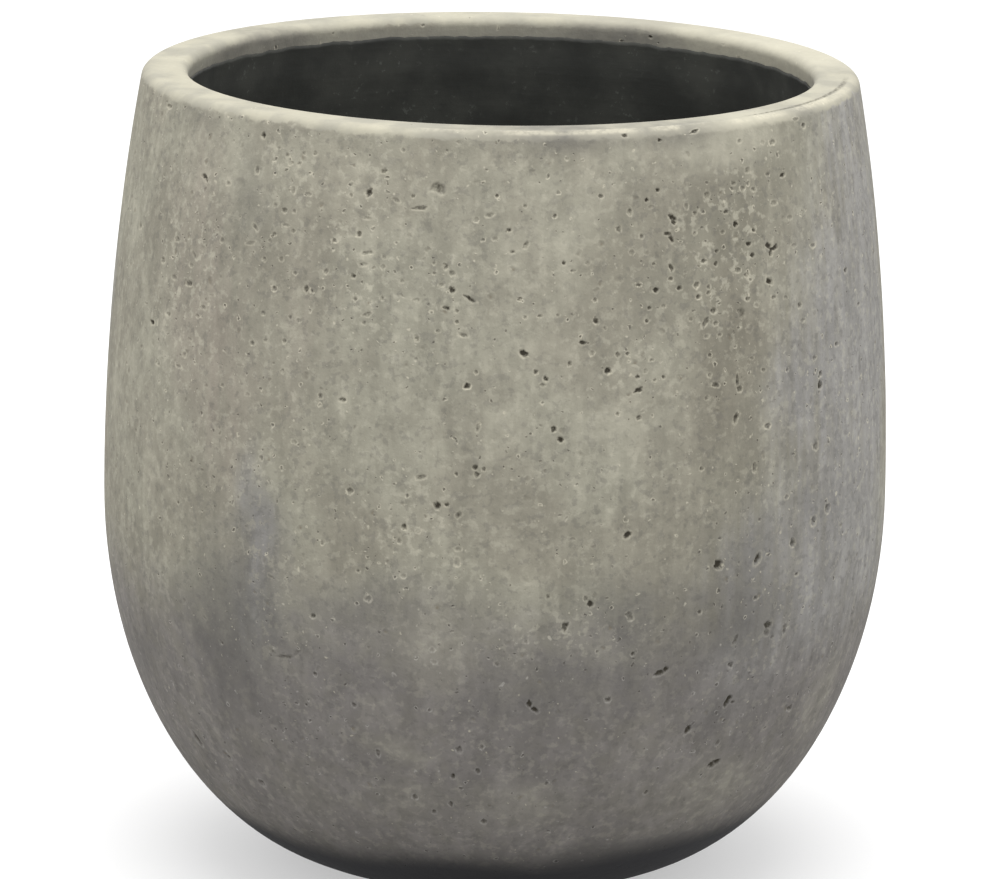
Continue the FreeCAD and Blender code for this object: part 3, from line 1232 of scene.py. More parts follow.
SEEN_PORES = (
    SeenPore(660, 673.5, 11, 5, 8, 0.4, 1.4),
    SeenPore(666, 669.5, 5, 6, -30, 0.2, 1.5),
    SeenPore(529.5, 704.5, 5, 8, 10, 0.3, 1.4),
    SeenPore(535, 710, 9, 5, -35, 0.3, 1.4),
    SeenPore(727, 702.5, 5, 9, -20, 0.3, 1.5),
    SeenPore(730, 698, 6, 5, 0, 0.2, 1.4),
    SeenPore(733.5, 702, 4, 3, 0, 0.3, 1.4),
    SeenPore(712, 765, 9, 5, 10, 0.3, 1.5),
    SeenPore(717.5, 762, 5, 6, -35, 0.2, 1.4),
    SeenPore(768.5, 625.5, 7, 7, 0, 0.3, 0.9),
    SeenPore(767, 632.5, 6, 7, 0, 0.3, 0.8),
    SeenPore(772.5, 637, 5, 4, 0, 0.3, 0.9),
    SeenPore(769, 246, 7, 5, -30, 0.4, 1.5),
    SeenPore(775, 248, 6, 5, 35, 0.4, 1.5),
    SeenPore(771, 253, 4, 6, 10, 0.4, 1.5),
    SeenPore(772.5, 249, 6, 4, 0, 0.1, 1.5),
    SeenPore(672, 217, 7, 5, -35, 0.4, 1.5),
    SeenPore(674, 222, 5, 6, 30, 0.4, 1.5),
    SeenPore(675, 219, 4, 5, 20, 0.1, 1.5),
    SeenPore(668, 234, 8, 4, -10, 0.4, 1.5),
    SeenPore(672, 239, 4, 9, 15, 0.4, 1.5),
    SeenPore(671, 267, 4, 8, 25, 0.6, 1.5),
    SeenPore(770, 281, 7, 6, -30, 0.4, 1.4),
    SeenPore(820.5, 385, 4, 9, 0, 0.3, 1.7),
    SeenPore(738, 381, 3, 14, 0, 0.4, 1.3),
    SeenPore(523, 353, 8, 7, -35, 0.9, 1.6),
    SeenPore(719, 565, 9, 10, 20, 0.4, 1.2),
    SeenPore(758, 559, 5, 14, -30, 0.4, 1.2),
    SeenPore(628, 535, 9, 6, 20, 0.4, 1.3),
    SeenPore(583, 343, 8, 4, 0, 0.4, 1.5),
    SeenPore(608, 371, 7, 6, 0, 0.8, 1.6),
    SeenPore(639, 390, 10, 5, 25, 0.4, 1.5),
    SeenPore(638, 377, 5, 4, 0, 0.4, 1.4),
    SeenPore(646, 371, 4, 5),
    SeenPore(618, 414, 4, 4),
    SeenPore(639, 418, 5, 5),
    SeenPore(554, 429, 6, 6, -30),
    SeenPore(561, 440, 6, 6, -30, 0.4, 1.3),
    SeenPore(656, 290, 6, 5, 0, 0.4, 1.7),
    SeenPore(650, 308, 4, 4, 0, 0.4, 1.6),
    SeenPore(647, 321, 4, 4),
    SeenPore(714, 311, 6, 6),
    SeenPore(742, 313, 6, 11, 30, 0.2, 0.45),
    SeenPore(800, 305, 4, 6),
    SeenPore(716, 385, 7, 5, -20),
    SeenPore(736, 418, 4, 12, -20),
    SeenPore(768, 426, 6, 6, 0, 0.9),
    SeenPore(816, 446, 5, 7),
    SeenPore(702, 469, 4, 4),
    SeenPore(755, 467, 4, 10),
    SeenPore(787, 497, 4, 4, 0, 0.9),
    SeenPore(828, 508, 5, 9),
    SeenPore(814, 521, 5, 10),
    SeenPore(793, 543, 5, 8, -25),
    SeenPore(797, 574, 4, 4),
    SeenPore(756, 598, 4, 4),
    SeenPore(736, 640, 4, 10, -20, 0.2, 0.7),
    SeenPore(731, 665, 6, 5, -20),
    SeenPore(785, 629, 4, 10, 0, 0.1, 0.7),
    SeenPore(790, 708, 5, 5),
    SeenPore(700, 612, 4, 4),
    SeenPore(630, 616, 6, 9, 30),
    SeenPore(586, 599, 4, 6, 20),
    SeenPore(590.5, 604, 7, 6, -35, 0.4, 1.2),
    SeenPore(565, 627, 6, 10, -25),
    SeenPore(526, 642, 4, 4),
    SeenPore(548, 597, 4, 4),
    SeenPore(633, 654, 4, 4),
    SeenPore(608, 700, 6, 5, 0, 0.9),
    SeenPore(688, 730, 5, 10, -25, 0.4, 1.2),
    SeenPore(718, 743, 4, 6, -20),
    SeenPore(646, 793, 4, 4),
    SeenPore(497, 664, 5, 4),
    SeenPore(783, 175, 5, 5, 0, 0.6, 1.5),
    SeenPore(736, 224, 5, 6, 0, 0.4, 1.6),
    SeenPore(647, 200, 4, 4, 0, 0.4, 1.7),
    SeenPore(658, 190, 4, 4, 0, 0.4, 1.4),
    SeenPore(564, 263, 4, 4, 0, 0.4, 1.7),
    SeenPore(588, 263, 5, 4),
    SeenPore(749, 244, 5, 5, 0, 0.4, 1.6),
    SeenPore(753, 255, 5, 5, 0, 0.4, 1.6),
    SeenPore(717, 251, 4, 4, 0, 0.4, 1.6),
    SeenPore(716, 264, 4, 4, 0, 0.4, 1.6),
    SeenPore(704, 261, 5, 5, 0, 0.9, 1.2),
    SeenPore(695, 233, 4, 4),
    SeenPore(723, 232, 4, 4),
    SeenPore(726, 212, 4, 4),
    SeenPore(697, 285, 5, 7, -30, 0.9),
    SeenPore(709, 287, 4, 4),
    SeenPore(555, 216, 4, 5, 0, 1.0),
    SeenPore(509, 230, 4, 4, 0, 0.6, 1.1),
    SeenPore(452, 290, 8, 5, -40, 0.4, 1.4),
    SeenPore(470, 299, 14, 4, -30, 0.4, 1.2),
    SeenPore(446, 308, 9, 4, -10, 0.4, 1.3),
    SeenPore(463, 335, 10, 4, -10),
    SeenPore(467, 386, 7, 6, 0, 1, 1.6),
    SeenPore(478, 427, 4, 9, -10),
    SeenPore(475, 467, 6, 5, 20, 0.3),
    SeenPore(477, 475, 5, 6, -20),
    SeenPore(484, 469, 4, 4),
    SeenPore(437, 506, 7, 7, 0, 0.4, 1.3),
    SeenPore(447, 505, 5, 5),
    SeenPore(459, 515, 5, 7, -35),
    SeenPore(404, 527, 6, 6, 0, 0.6, 0.8),
    SeenPore(320, 396, 5, 5, 0, 0.6, 0.55),
    SeenPore(342, 400, 7, 5, 0, 0.6, 0.8),
    SeenPore(367, 314, 10, 4, 20, 0.6, 0.55),
    SeenPore(306, 289, 4, 8, 0, 0.6, 1.1),
    SeenPore(265, 340, 4, 4, 0, 0.6, 0.55),
    SeenPore(284, 341, 4, 5, 0, 0.6, 0.55),
    SeenPore(152, 322, 5, 5, 0, 0.6, 1.6),
    SeenPore(168, 314, 5, 5, 0, 0.6, 0.55),
    SeenPore(204, 176, 6, 5, 0, 0.4, 1.2),
    SeenPore(206, 180, 4, 4, 0, 0.6, 0.55),
    SeenPore(263, 135, 5, 5, -30, 0.4, 1.3),
    SeenPore(384, 171, 6, 5, 20, 0.6, 0.8),
    SeenPore(369, 193, 5, 10, -25, 0.6, 1.2),
    SeenPore(438, 188, 16, 9, -20, 0.2, 0.4),
    SeenPore(420, 208, 16, 4, 8, 0.4, 0.8),
    SeenPore(396, 200, 8, 4, -30, 0.6, 0.55),
    SeenPore(359, 234, 5, 6, 0, 0.6, 1.0),
    SeenPore(367, 253, 13, 4, 12, 0.6, 1.0),
    SeenPore(364, 264, 9, 4, 0, 0.6, 0.55),
    SeenPore(353, 276, 5, 5, 0, 0.6, 0.9),
    SeenPore(490, 215, 8, 4, 20, 0.6, 0.7),
    SeenPore(285, 657, 20, 4, 8, 0.1, 0.6),
    SeenPore(271, 651, 11, 4, -42, 0.1, 0.5),
    SeenPore(297, 653, 11, 4, 42, 0.1, 0.5),
    SeenPore(197, 739, 5, 11, 30),
    SeenPore(229, 758, 4, 4),
    SeenPore(261, 783, 6, 6, -30),
    SeenPore(378, 753, 4, 8),
    SeenPore(459, 750, 6, 7),
    SeenPore(482, 747, 4, 5, 0, 0.9),
    SeenPore(453, 777, 5, 5),
    SeenPore(478, 771, 5, 5),
    SeenPore(415, 797, 5, 5, 0, 0.9),
    SeenPore(451, 804, 5, 5),
    SeenPore(434, 812, 4, 4),
    SeenPore(484, 822, 6, 5, 20),
    SeenPore(315, 674, 4, 4, 0, 0.9),
    SeenPore(354, 705, 5, 4, 0, 0.9),
    SeenPore(625, 135, 6, 4, 0, 0.4, 1.2),
    SeenPore(660, 140, 4, 4, 0, 0.2, 1.6),
    SeenPore(695, 131, 8, 4, 20, 0.9, 1.3),
    SeenPore(796, 119, 5, 4),
    SeenPore(804, 125, 4, 5),
    SeenPore(169, 106, 6, 5, 0, 0.6, 0.55),
    SeenPore(650, 37, 4, 4, 0, 0.4, 1.3),
    SeenPore(403, 150, 4, 4, 0, 0.6, 0.55),
    SeenPore(351, 195, 4, 4, 0, 0.6, 0.55),
    SeenPore(413, 196, 4, 4, 0, 0.6, 0.7),
    SeenPore(368, 218, 9, 3, 0, 0.6, 0.55),
    SeenPore(334, 241, 6, 4, 0, 0.9, 0.55),
    SeenPore(384, 257, 4, 4, 0, 0.6, 0.55),
    SeenPore(383, 267, 4, 6, 0, 0.6, 0.55),
    SeenPore(326, 271, 5, 5, 0, 0.9, 0.55),
    SeenPore(295, 273, 4, 4, 0, 0.6, 0.55),
    SeenPore(382, 298, 4, 4, 0, 0.9, 0.55),
    SeenPore(355, 299, 4, 5, 0, 0.9, 0.55),
    SeenPore(402, 281, 4, 4, 0, 0.6, 0.55),
    SeenPore(364, 323, 4, 4, 0, 0.6, 0.55),
    SeenPore(416, 300, 8, 3, 0, 0.6, 0.55),
    SeenPore(298, 320, 5, 4, 0, 0.6, 0.55),
    SeenPore(290, 317, 4, 4, 0, 0.6, 0.55),
    SeenPore(252, 343, 5, 5, 0, 0.9, 0.55),
    SeenPore(189, 284, 6, 5, 0, 0.6, 0.8),
    SeenPore(174, 277, 5, 5, 0, 0.6, 0.55),
    SeenPore(203, 307, 6, 4, 0, 0.6, 0.55),
    SeenPore(211, 295, 6, 3, 0, 0.6, 0.55),
    SeenPore(197, 316, 4, 4, 0, 0.6, 0.55),
    SeenPore(189, 339, 5, 4, 0, 0.6, 0.55),
    SeenPore(157, 362, 5, 5, 0, 0.6, 0.55),
    SeenPore(184, 354, 4, 5, 0, 0.6, 0.55),
    SeenPore(178, 366, 5, 4, 0, 0.6, 0.55),
    SeenPore(222, 385, 4, 4, 0, 0.6, 0.55),
    SeenPore(247, 394, 5, 4, 0, 0.6, 0.55),
    SeenPore(282, 371, 4, 4, 0, 0.6, 0.55),
    SeenPore(240, 365, 6, 3, 0, 0.6, 0.55),
    SeenPore(416, 359, 4, 4, 0, 0.6, 0.55),
    SeenPore(417, 339, 5, 5, 0, 0.6, 0.55),
    SeenPore(255, 227, 7, 4, -40, 0.6, 0.55),
    SeenPore(250, 243, 9, 4, 15, 0.6, 0.55),
    SeenPore(228, 183, 5, 5, 0, 0.6, 0.55),
    SeenPore(257, 170, 4, 8, 0, 0.6, 0.55),
    SeenPore(304, 153, 4, 4, 0, 0.6, 0.55),
    SeenPore(287, 155, 4, 5, 0, 0.6, 0.55),
    SeenPore(299, 164, 4, 5, 0, 0.6, 0.55),
    SeenPore(290, 163, 4, 4, 0, 0.6, 0.55),
    SeenPore(315, 153, 4, 4, 0, 0.6, 0.55),
    SeenPore(279, 148, 4, 3, 0, 0.6, 0.55),
    SeenPore(293, 190, 4, 8, 0, 0.6, 0.55),
    SeenPore(308, 194, 6, 4, 0, 0.6, 0.55),
    SeenPore(284, 210, 5, 5, 0, 0.6, 0.55),
    SeenPore(294, 211, 4, 4, 0, 0.6, 0.55),
    SeenPore(275, 205, 4, 4, 0, 0.6, 0.55),
    SeenPore(293, 231, 4, 4, 0, 0.6, 0.55),
    SeenPore(274, 234, 4, 4, 0, 0.6, 0.55),
    SeenPore(286, 225, 8, 3, 0, 0.6, 0.55),
    SeenPore(177, 239, 5, 5, 0, 0.6, 0.55),
    SeenPore(194, 255, 7, 4, -40, 0.6, 0.55),
    SeenPore(191, 265, 4, 4, 0, 0.6, 0.55),
    SeenPore(163, 260, 4, 6, 0, 0.6, 0.55),
    SeenPore(222, 240, 4, 5, 0, 0.6, 0.55),
    SeenPore(140, 226, 4, 7, 0, 0.6, 0.55),
    SeenPore(264, 259, 4, 5, 0, 0.6, 0.55),
    SeenPore(281, 259, 4, 5, 0, 0.6, 0.55),
    SeenPore(274, 288, 5, 5, 0, 0.9, 0.55),
    SeenPore(263, 313, 4, 5, 0, 0.6, 0.55),
    SeenPore(497, 196, 4, 4, 0, 0.9),
    SeenPore(525, 206, 4, 4, 0, 0.6, 0.7),
    SeenPore(476, 220, 6, 4, 0, 0.9),
    SeenPore(495, 238, 6, 4, 0, 0.6, 0.6),
    SeenPore(526, 245, 5, 8, -30, 0.6, 0.6),
    SeenPore(513, 252, 6, 3),
    SeenPore(434, 263, 3, 4),
    SeenPore(434, 273, 4, 3),
    SeenPore(446, 267, 4, 6),
    SeenPore(452, 273, 6, 5, -30),
    SeenPore(441, 285, 5, 4),
    SeenPore(457, 311, 4, 4),
    SeenPore(457, 322, 4, 4),
    SeenPore(416, 337, 5, 5, 0, 0.6, 0.55),
    SeenPore(438, 331, 5, 3),
    SeenPore(520, 299, 5, 4),
    SeenPore(540, 316, 5, 4),
    SeenPore(558, 315, 4, 3),
    SeenPore(525, 317, 4, 4, 0, 0.9),
    SeenPore(573, 271, 6, 3),
    SeenPore(567, 159, 4, 3),
    SeenPore(601, 196, 5, 4, 0, 0.9),
    SeenPore(630, 212, 4, 7, 0, 0.6, 0.7),
    SeenPore(619, 229, 5, 6, 0, 0.6, 0.6),
    SeenPore(642, 236, 4, 5, 0, 0.6, 0.5),
    SeenPore(632, 252, 5, 5, 0, 0.6, 0.6),
    SeenPore(687, 206, 4, 6, 0, 0.6, 0.7),
    SeenPore(654, 264, 3, 3),
    SeenPore(671, 279, 5, 4),
    SeenPore(639, 285, 5, 4, 0, 0.9),
    SeenPore(680, 288, 5, 5),
    SeenPore(664, 306, 4, 4),
    SeenPore(691, 319, 4, 4),
    SeenPore(595, 300, 4, 4, 0, 0.9),
    SeenPore(596, 321, 5, 7, 30),
    SeenPore(605, 328, 3, 4),
    SeenPore(592, 353, 5, 5, 0, 0.9),
    SeenPore(618, 355, 4, 6),
    SeenPore(628, 354, 4, 4),
    SeenPore(652, 360, 5, 3),
    SeenPore(664, 377, 4, 4),
    SeenPore(655, 380, 4, 3),
    SeenPore(570, 364, 5, 5, 0, 0.6, 0.8),
    SeenPore(536, 372, 5, 5, 0, 0.9, 0.8),
    SeenPore(546, 379, 5, 5, 0, 0.6, 1.1),
    SeenPore(543, 385, 6, 4),
    SeenPore(476, 372, 4, 4, 0, 0.9),
    SeenPore(740, 141, 5, 4, 0, 0.6, 0.45),
    SeenPore(763, 142, 4, 4, 0, 0.6, 0.35),
    SeenPore(773, 142, 6, 5, 0, 0.9, 0.4),
    SeenPore(748, 170, 5, 6, 30, 0.6, 0.45),
    SeenPore(768, 174, 4, 3),
    SeenPore(734, 183, 5, 4, 0, 0.6, 0.6),
    SeenPore(743, 188, 5, 5, 0, 0.9, 0.7),
    SeenPore(754, 189, 5, 4, 0, 0.6, 0.6),
    SeenPore(707, 195, 5, 7, 0, 0.6, 0.6),
    SeenPore(695, 213, 4, 4),
    SeenPore(754, 230, 4, 4),
    SeenPore(774, 203, 6, 5, 0, 0.9, 0.45),
    SeenPore(790, 217, 5, 5, 0, 0.6, 0.3),
    SeenPore(794, 245, 5, 4, 0, 0.6, 0.4),
    SeenPore(813, 245, 5, 4, 0, 0.9, 0.5),
    SeenPore(738, 270, 6, 5, 0, 0.9),
    SeenPore(747, 275, 5, 5, 0, 0.6, 0.7),
    SeenPore(709, 293, 4, 4),
    SeenPore(699, 297, 5, 5),
    SeenPore(706, 322, 4, 12, -35),
    SeenPore(716, 323, 5, 4, 0, 0.6, 0.6),
    SeenPore(707, 336, 5, 4, 0, 0.6, 0.6),
    SeenPore(720, 335, 4, 4, 0, 0.6, 0.5),
    SeenPore(748, 299, 5, 4, 0, 0.9),
    SeenPore(757, 305, 4, 4, 0, 0.6, 0.5),
    SeenPore(774, 297, 5, 4, 0, 0.6, 0.6),
    SeenPore(786, 297, 4, 4, 0, 0.6, 0.6),
    SeenPore(803, 320, 5, 4, 0, 0.6, 0.6),
    SeenPore(846, 270, 4, 5),
    SeenPore(859, 304, 4, 4),
    SeenPore(837, 344, 4, 5),
    SeenPore(815, 358, 4, 4),
    SeenPore(821, 373.5, 3, 6, 0, 0.3, 1.4),
    SeenPore(764, 370, 4, 4),
    SeenPore(740, 389, 5, 6),
    SeenPore(710, 375, 4, 5),
    SeenPore(710, 355, 4, 4),
    SeenPore(752, 358, 4, 3),
    SeenPore(707, 398, 4, 4),
    SeenPore(294, 442, 5, 4, 0, 0.9),
    SeenPore(261, 458, 4, 5),
    SeenPore(350, 491, 6, 6, 0, 0.9, 0.5),
    SeenPore(421, 477, 10, 5, 20, 0.6, 0.45),
    SeenPore(456, 474, 4, 4),
    SeenPore(418, 531, 5, 4, 0, 0.6, 0.4),
    SeenPore(458, 549, 7, 4, 0, 0.6, 0.5),
    SeenPore(457, 562, 6, 8, 0, 0.9, 0.25),
    SeenPore(313, 616, 5, 6, 0, 0.6, 0.7),
    SeenPore(368, 599, 7, 5, 0, 0.9, 0.3),
    SeenPore(403, 576, 5, 5, 0, 0.9, 0.3),
    SeenPore(358, 571, 4, 3),
    SeenPore(399, 541, 5, 5, 0, 0.6, 0.4),
    SeenPore(432, 650, 5, 4, 0, 1, 0.2),
    SeenPore(434, 662, 6, 4, 0, 1, 0.2),
)

SEEN_PATCHES = (
    SeenPatch(Film.ROSE, 195, 260, 22 * MM, 60 * MM, 0.6),
    SeenPatch(Film.ROSE, 225, 400, 18 * MM, 50 * MM, 0.7),
    SeenPatch(Film.ROSE, 300, 330, 16 * MM, 40 * MM, 0.3),
    SeenPatch(Film.UMBER, 715, 270, 26 * MM, 60 * MM, 0.45),
    SeenPatch(Film.UMBER, 740, 450, 22 * MM, 60 * MM, 0.45),
    SeenPatch(Film.UMBER, 780, 205, 22 * MM, 30 * MM, 0.4),
    SeenPatch(Film.UMBER, 625, 235, 22 * MM, 16 * MM, 0.35),
    SeenPatch(Film.UMBER, 615, 290, 16 * MM, 20 * MM, 0.35),
    SeenPatch(Film.UMBER, 555, 160, 26 * MM, 12 * MM, 0.12),
    SeenPatch(Film.UMBER, 310, 450, 26 * MM, 20 * MM, 0.2),
    SeenPatch(Film.UMBER, 430, 160, 20 * MM, 10 * MM, 0.25),
    SeenPatch(Film.SLATE, 862, 200, 40 * MM, 90 * MM, 0.9),
    SeenPatch(Film.SLATE, 850, 400, 50 * MM, 70 * MM, 0.9),
    SeenPatch(Film.SLATE, 850, 540, 44 * MM, 44 * MM, 0.8),
    SeenPatch(Film.SLATE, 795, 375, 14 * MM, 24 * MM, 0.55),
    SeenPatch(Film.SLATE, 770, 590, 36 * MM, 36 * MM, 0.75),
    SeenPatch(Film.SLATE, 252, 520, 6 * MM, 28 * MM, 0.6),
    SeenPatch(Film.SLATE, 255, 590, 12 * MM, 28 * MM, 0.5),
    SeenPatch(Film.SHADE, 255, 195, 9 * MM, 26 * MM, 0.22),
    SeenPatch(Film.SHADE, 225, 640, 26 * MM, 36 * MM, 0.6),
    SeenPatch(Film.SHADE, 235, 555, 20 * MM, 22 * MM, 0.25),
    SeenPatch(Film.SHADE, 330, 665, 44 * MM, 12 * MM, 0.2),
    SeenPatch(Film.SHADE, 560, 690, 48 * MM, 15 * MM, 0.4),
    SeenPatch(Film.SHADE, 690, 630, 36 * MM, 22 * MM, 0.4),
    SeenPatch(Film.SHADE, 745, 585, 26 * MM, 24 * MM, 0.55),
    SeenPatch(Film.SHADE, 305, 128, 13 * MM, 4 * MM, 0.12),
    SeenPatch(Film.SHADE, 205, 112, 22 * MM, 5 * MM, 0.16),
    SeenPatch(Film.SHADE, 262, 545, 10 * MM, 26 * MM, 0.25),
    SeenPatch(Film.SHADE, 310, 580, 10 * MM, 18 * MM, 0.15),
    SeenPatch(Film.SHADE, 138, 655, 14 * MM, 14 * MM, 0.2),
    SeenPatch(Film.SHADE, 620, 600, 22 * MM, 15 * MM, 0.3),
    SeenPatch(Film.SHADE, 375, 610, 24 * MM, 13 * MM, 0.3),
    # The next two: painted shade, which dulls the front of the rim where the lamp lights it most
    SeenPatch(Film.SHADE, 640, 128, 56 * MM, 7 * MM, 0.5),
    SeenPatch(Film.SHADE, 520, 131, 34 * MM, 7 * MM, 0.35),
    # Painted shade on the left of the rim's lip
    SeenPatch(Film.SHADE, 262, 50, 36 * MM, 6 * MM, 0.6),
    SeenPatch(Film.BLOOM, 560, 270, 32 * MM, 42 * MM, 0.3),
    SeenPatch(Film.BLOOM, 728, 145, 26 * MM, 11 * MM, 0.7),
    SeenPatch(Film.BLOOM, 370, 195, 20 * MM, 22 * MM, 0.35),
    SeenPatch(Film.BLOOM, 128, 360, 26 * MM, 60 * MM, 0.35),
    SeenPatch(Film.BLOOM, 400, 752, 14 * MM, 5 * MM, 0.4),
    # The next three: painted light on the right of the rim's lip and along the back of the rim
    SeenPatch(Film.BLOOM, 740, 52, 44 * MM, 8 * MM, 1.0),
    SeenPatch(Film.BLOOM, 795, 72, 36 * MM, 8 * MM, 1.0),
    SeenPatch(Film.BLOOM, 480, 16, 110 * MM, 4 * MM, 0.5),
    SeenPatch(Film.BLOOM, 640, 160, 22 * MM, 12 * MM, 0.3),
    SeenPatch(Film.BLOOM, 640, 395, 24 * MM, 18 * MM, 0.25),
    SeenPatch(Film.BLOOM, 500, 425, 20 * MM, 26 * MM, 0.25),
    SeenPatch(Film.BLOOM, 165, 475, 15 * MM, 26 * MM, 0.25),
    SeenPatch(Film.BLOOM, 432, 655, 16 * MM, 11 * MM, 0.25),
    SeenPatch(Film.BLOOM, 825, 690, 16 * MM, 20 * MM, 0.25),
    # The next four: painted light on the band just over the base, where little light reaches
    SeenPatch(Film.BLOOM, 410, 805, 20 * MM, 10 * MM, 0.2),
    SeenPatch(Film.BLOOM, 520, 808, 24 * MM, 10 * MM, 0.2),
    SeenPatch(Film.BLOOM, 710, 785, 30 * MM, 16 * MM, 0.33),
    SeenPatch(Film.BLOOM, 310, 800, 16 * MM, 10 * MM, 0.15),
    SeenPatch(Film.BLOOM, 620, 400, 16 * MM, 14 * MM, 0.15),
    SeenPatch(Film.BLOOM, 240, 165, 50 * MM, 12 * MM, 0.2),
    SeenPatch(Film.SHADE, 810, 525, 22 * MM, 18 * MM, 0.2),
    SeenPatch(Film.SHADE, 145, 640, 15 * MM, 18 * MM, 0.3),
    SeenPatch(Film.SHADE, 280, 610, 16 * MM, 14 * MM, 0.2),
    SeenPatch(Film.SHADE, 730, 705, 18 * MM, 13 * MM, 0.25),
    # Painted shade at the base on the right
    SeenPatch(Film.SHADE, 630, 850, 34 * MM, 9 * MM, 0.7),
    SeenPatch(Film.SHADE, 785, 108, 12 * MM, 5 * MM, 0.25),
    SeenPatch(Film.RAW, 290, 175, 14 * MM, 22 * MM, 0.9),
    SeenPatch(Film.RAW, 370, 245, 16 * MM, 50 * MM, 0.8),
    SeenPatch(Film.RAW, 450, 290, 12 * MM, 26 * MM, 0.7),
    SeenPatch(Film.RAW, 725, 250, 28 * MM, 36 * MM, 0.9),
    SeenPatch(Film.RAW, 630, 365, 20 * MM, 16 * MM, 0.7),
    SeenPatch(Film.RAW, 185, 290, 26 * MM, 50 * MM, 0.8),
    SeenPatch(Film.RAW, 262, 570, 16 * MM, 44 * MM, 1.0),
    SeenPatch(Film.RAW, 420, 540, 22 * MM, 22 * MM, 0.7),
    SeenPatch(Film.RAW, 590, 640, 40 * MM, 14 * MM, 0.7),
    SeenPatch(Film.RAW, 760, 620, 26 * MM, 34 * MM, 0.6),
)


@dataclass(frozen=True)
class PoreChances:
    """Between which bounds pores fall by chance: least, most and usual half width, and their tones."""

    half_wide: tuple[float, float, float]
    dark: tuple[float, float]
    ring: tuple[float, float] = (0.1, 0.8)
    tallness: tuple[float, float] = (0.7, 1.6)
    lean: tuple[float, float] = (-0.8, 0.8)


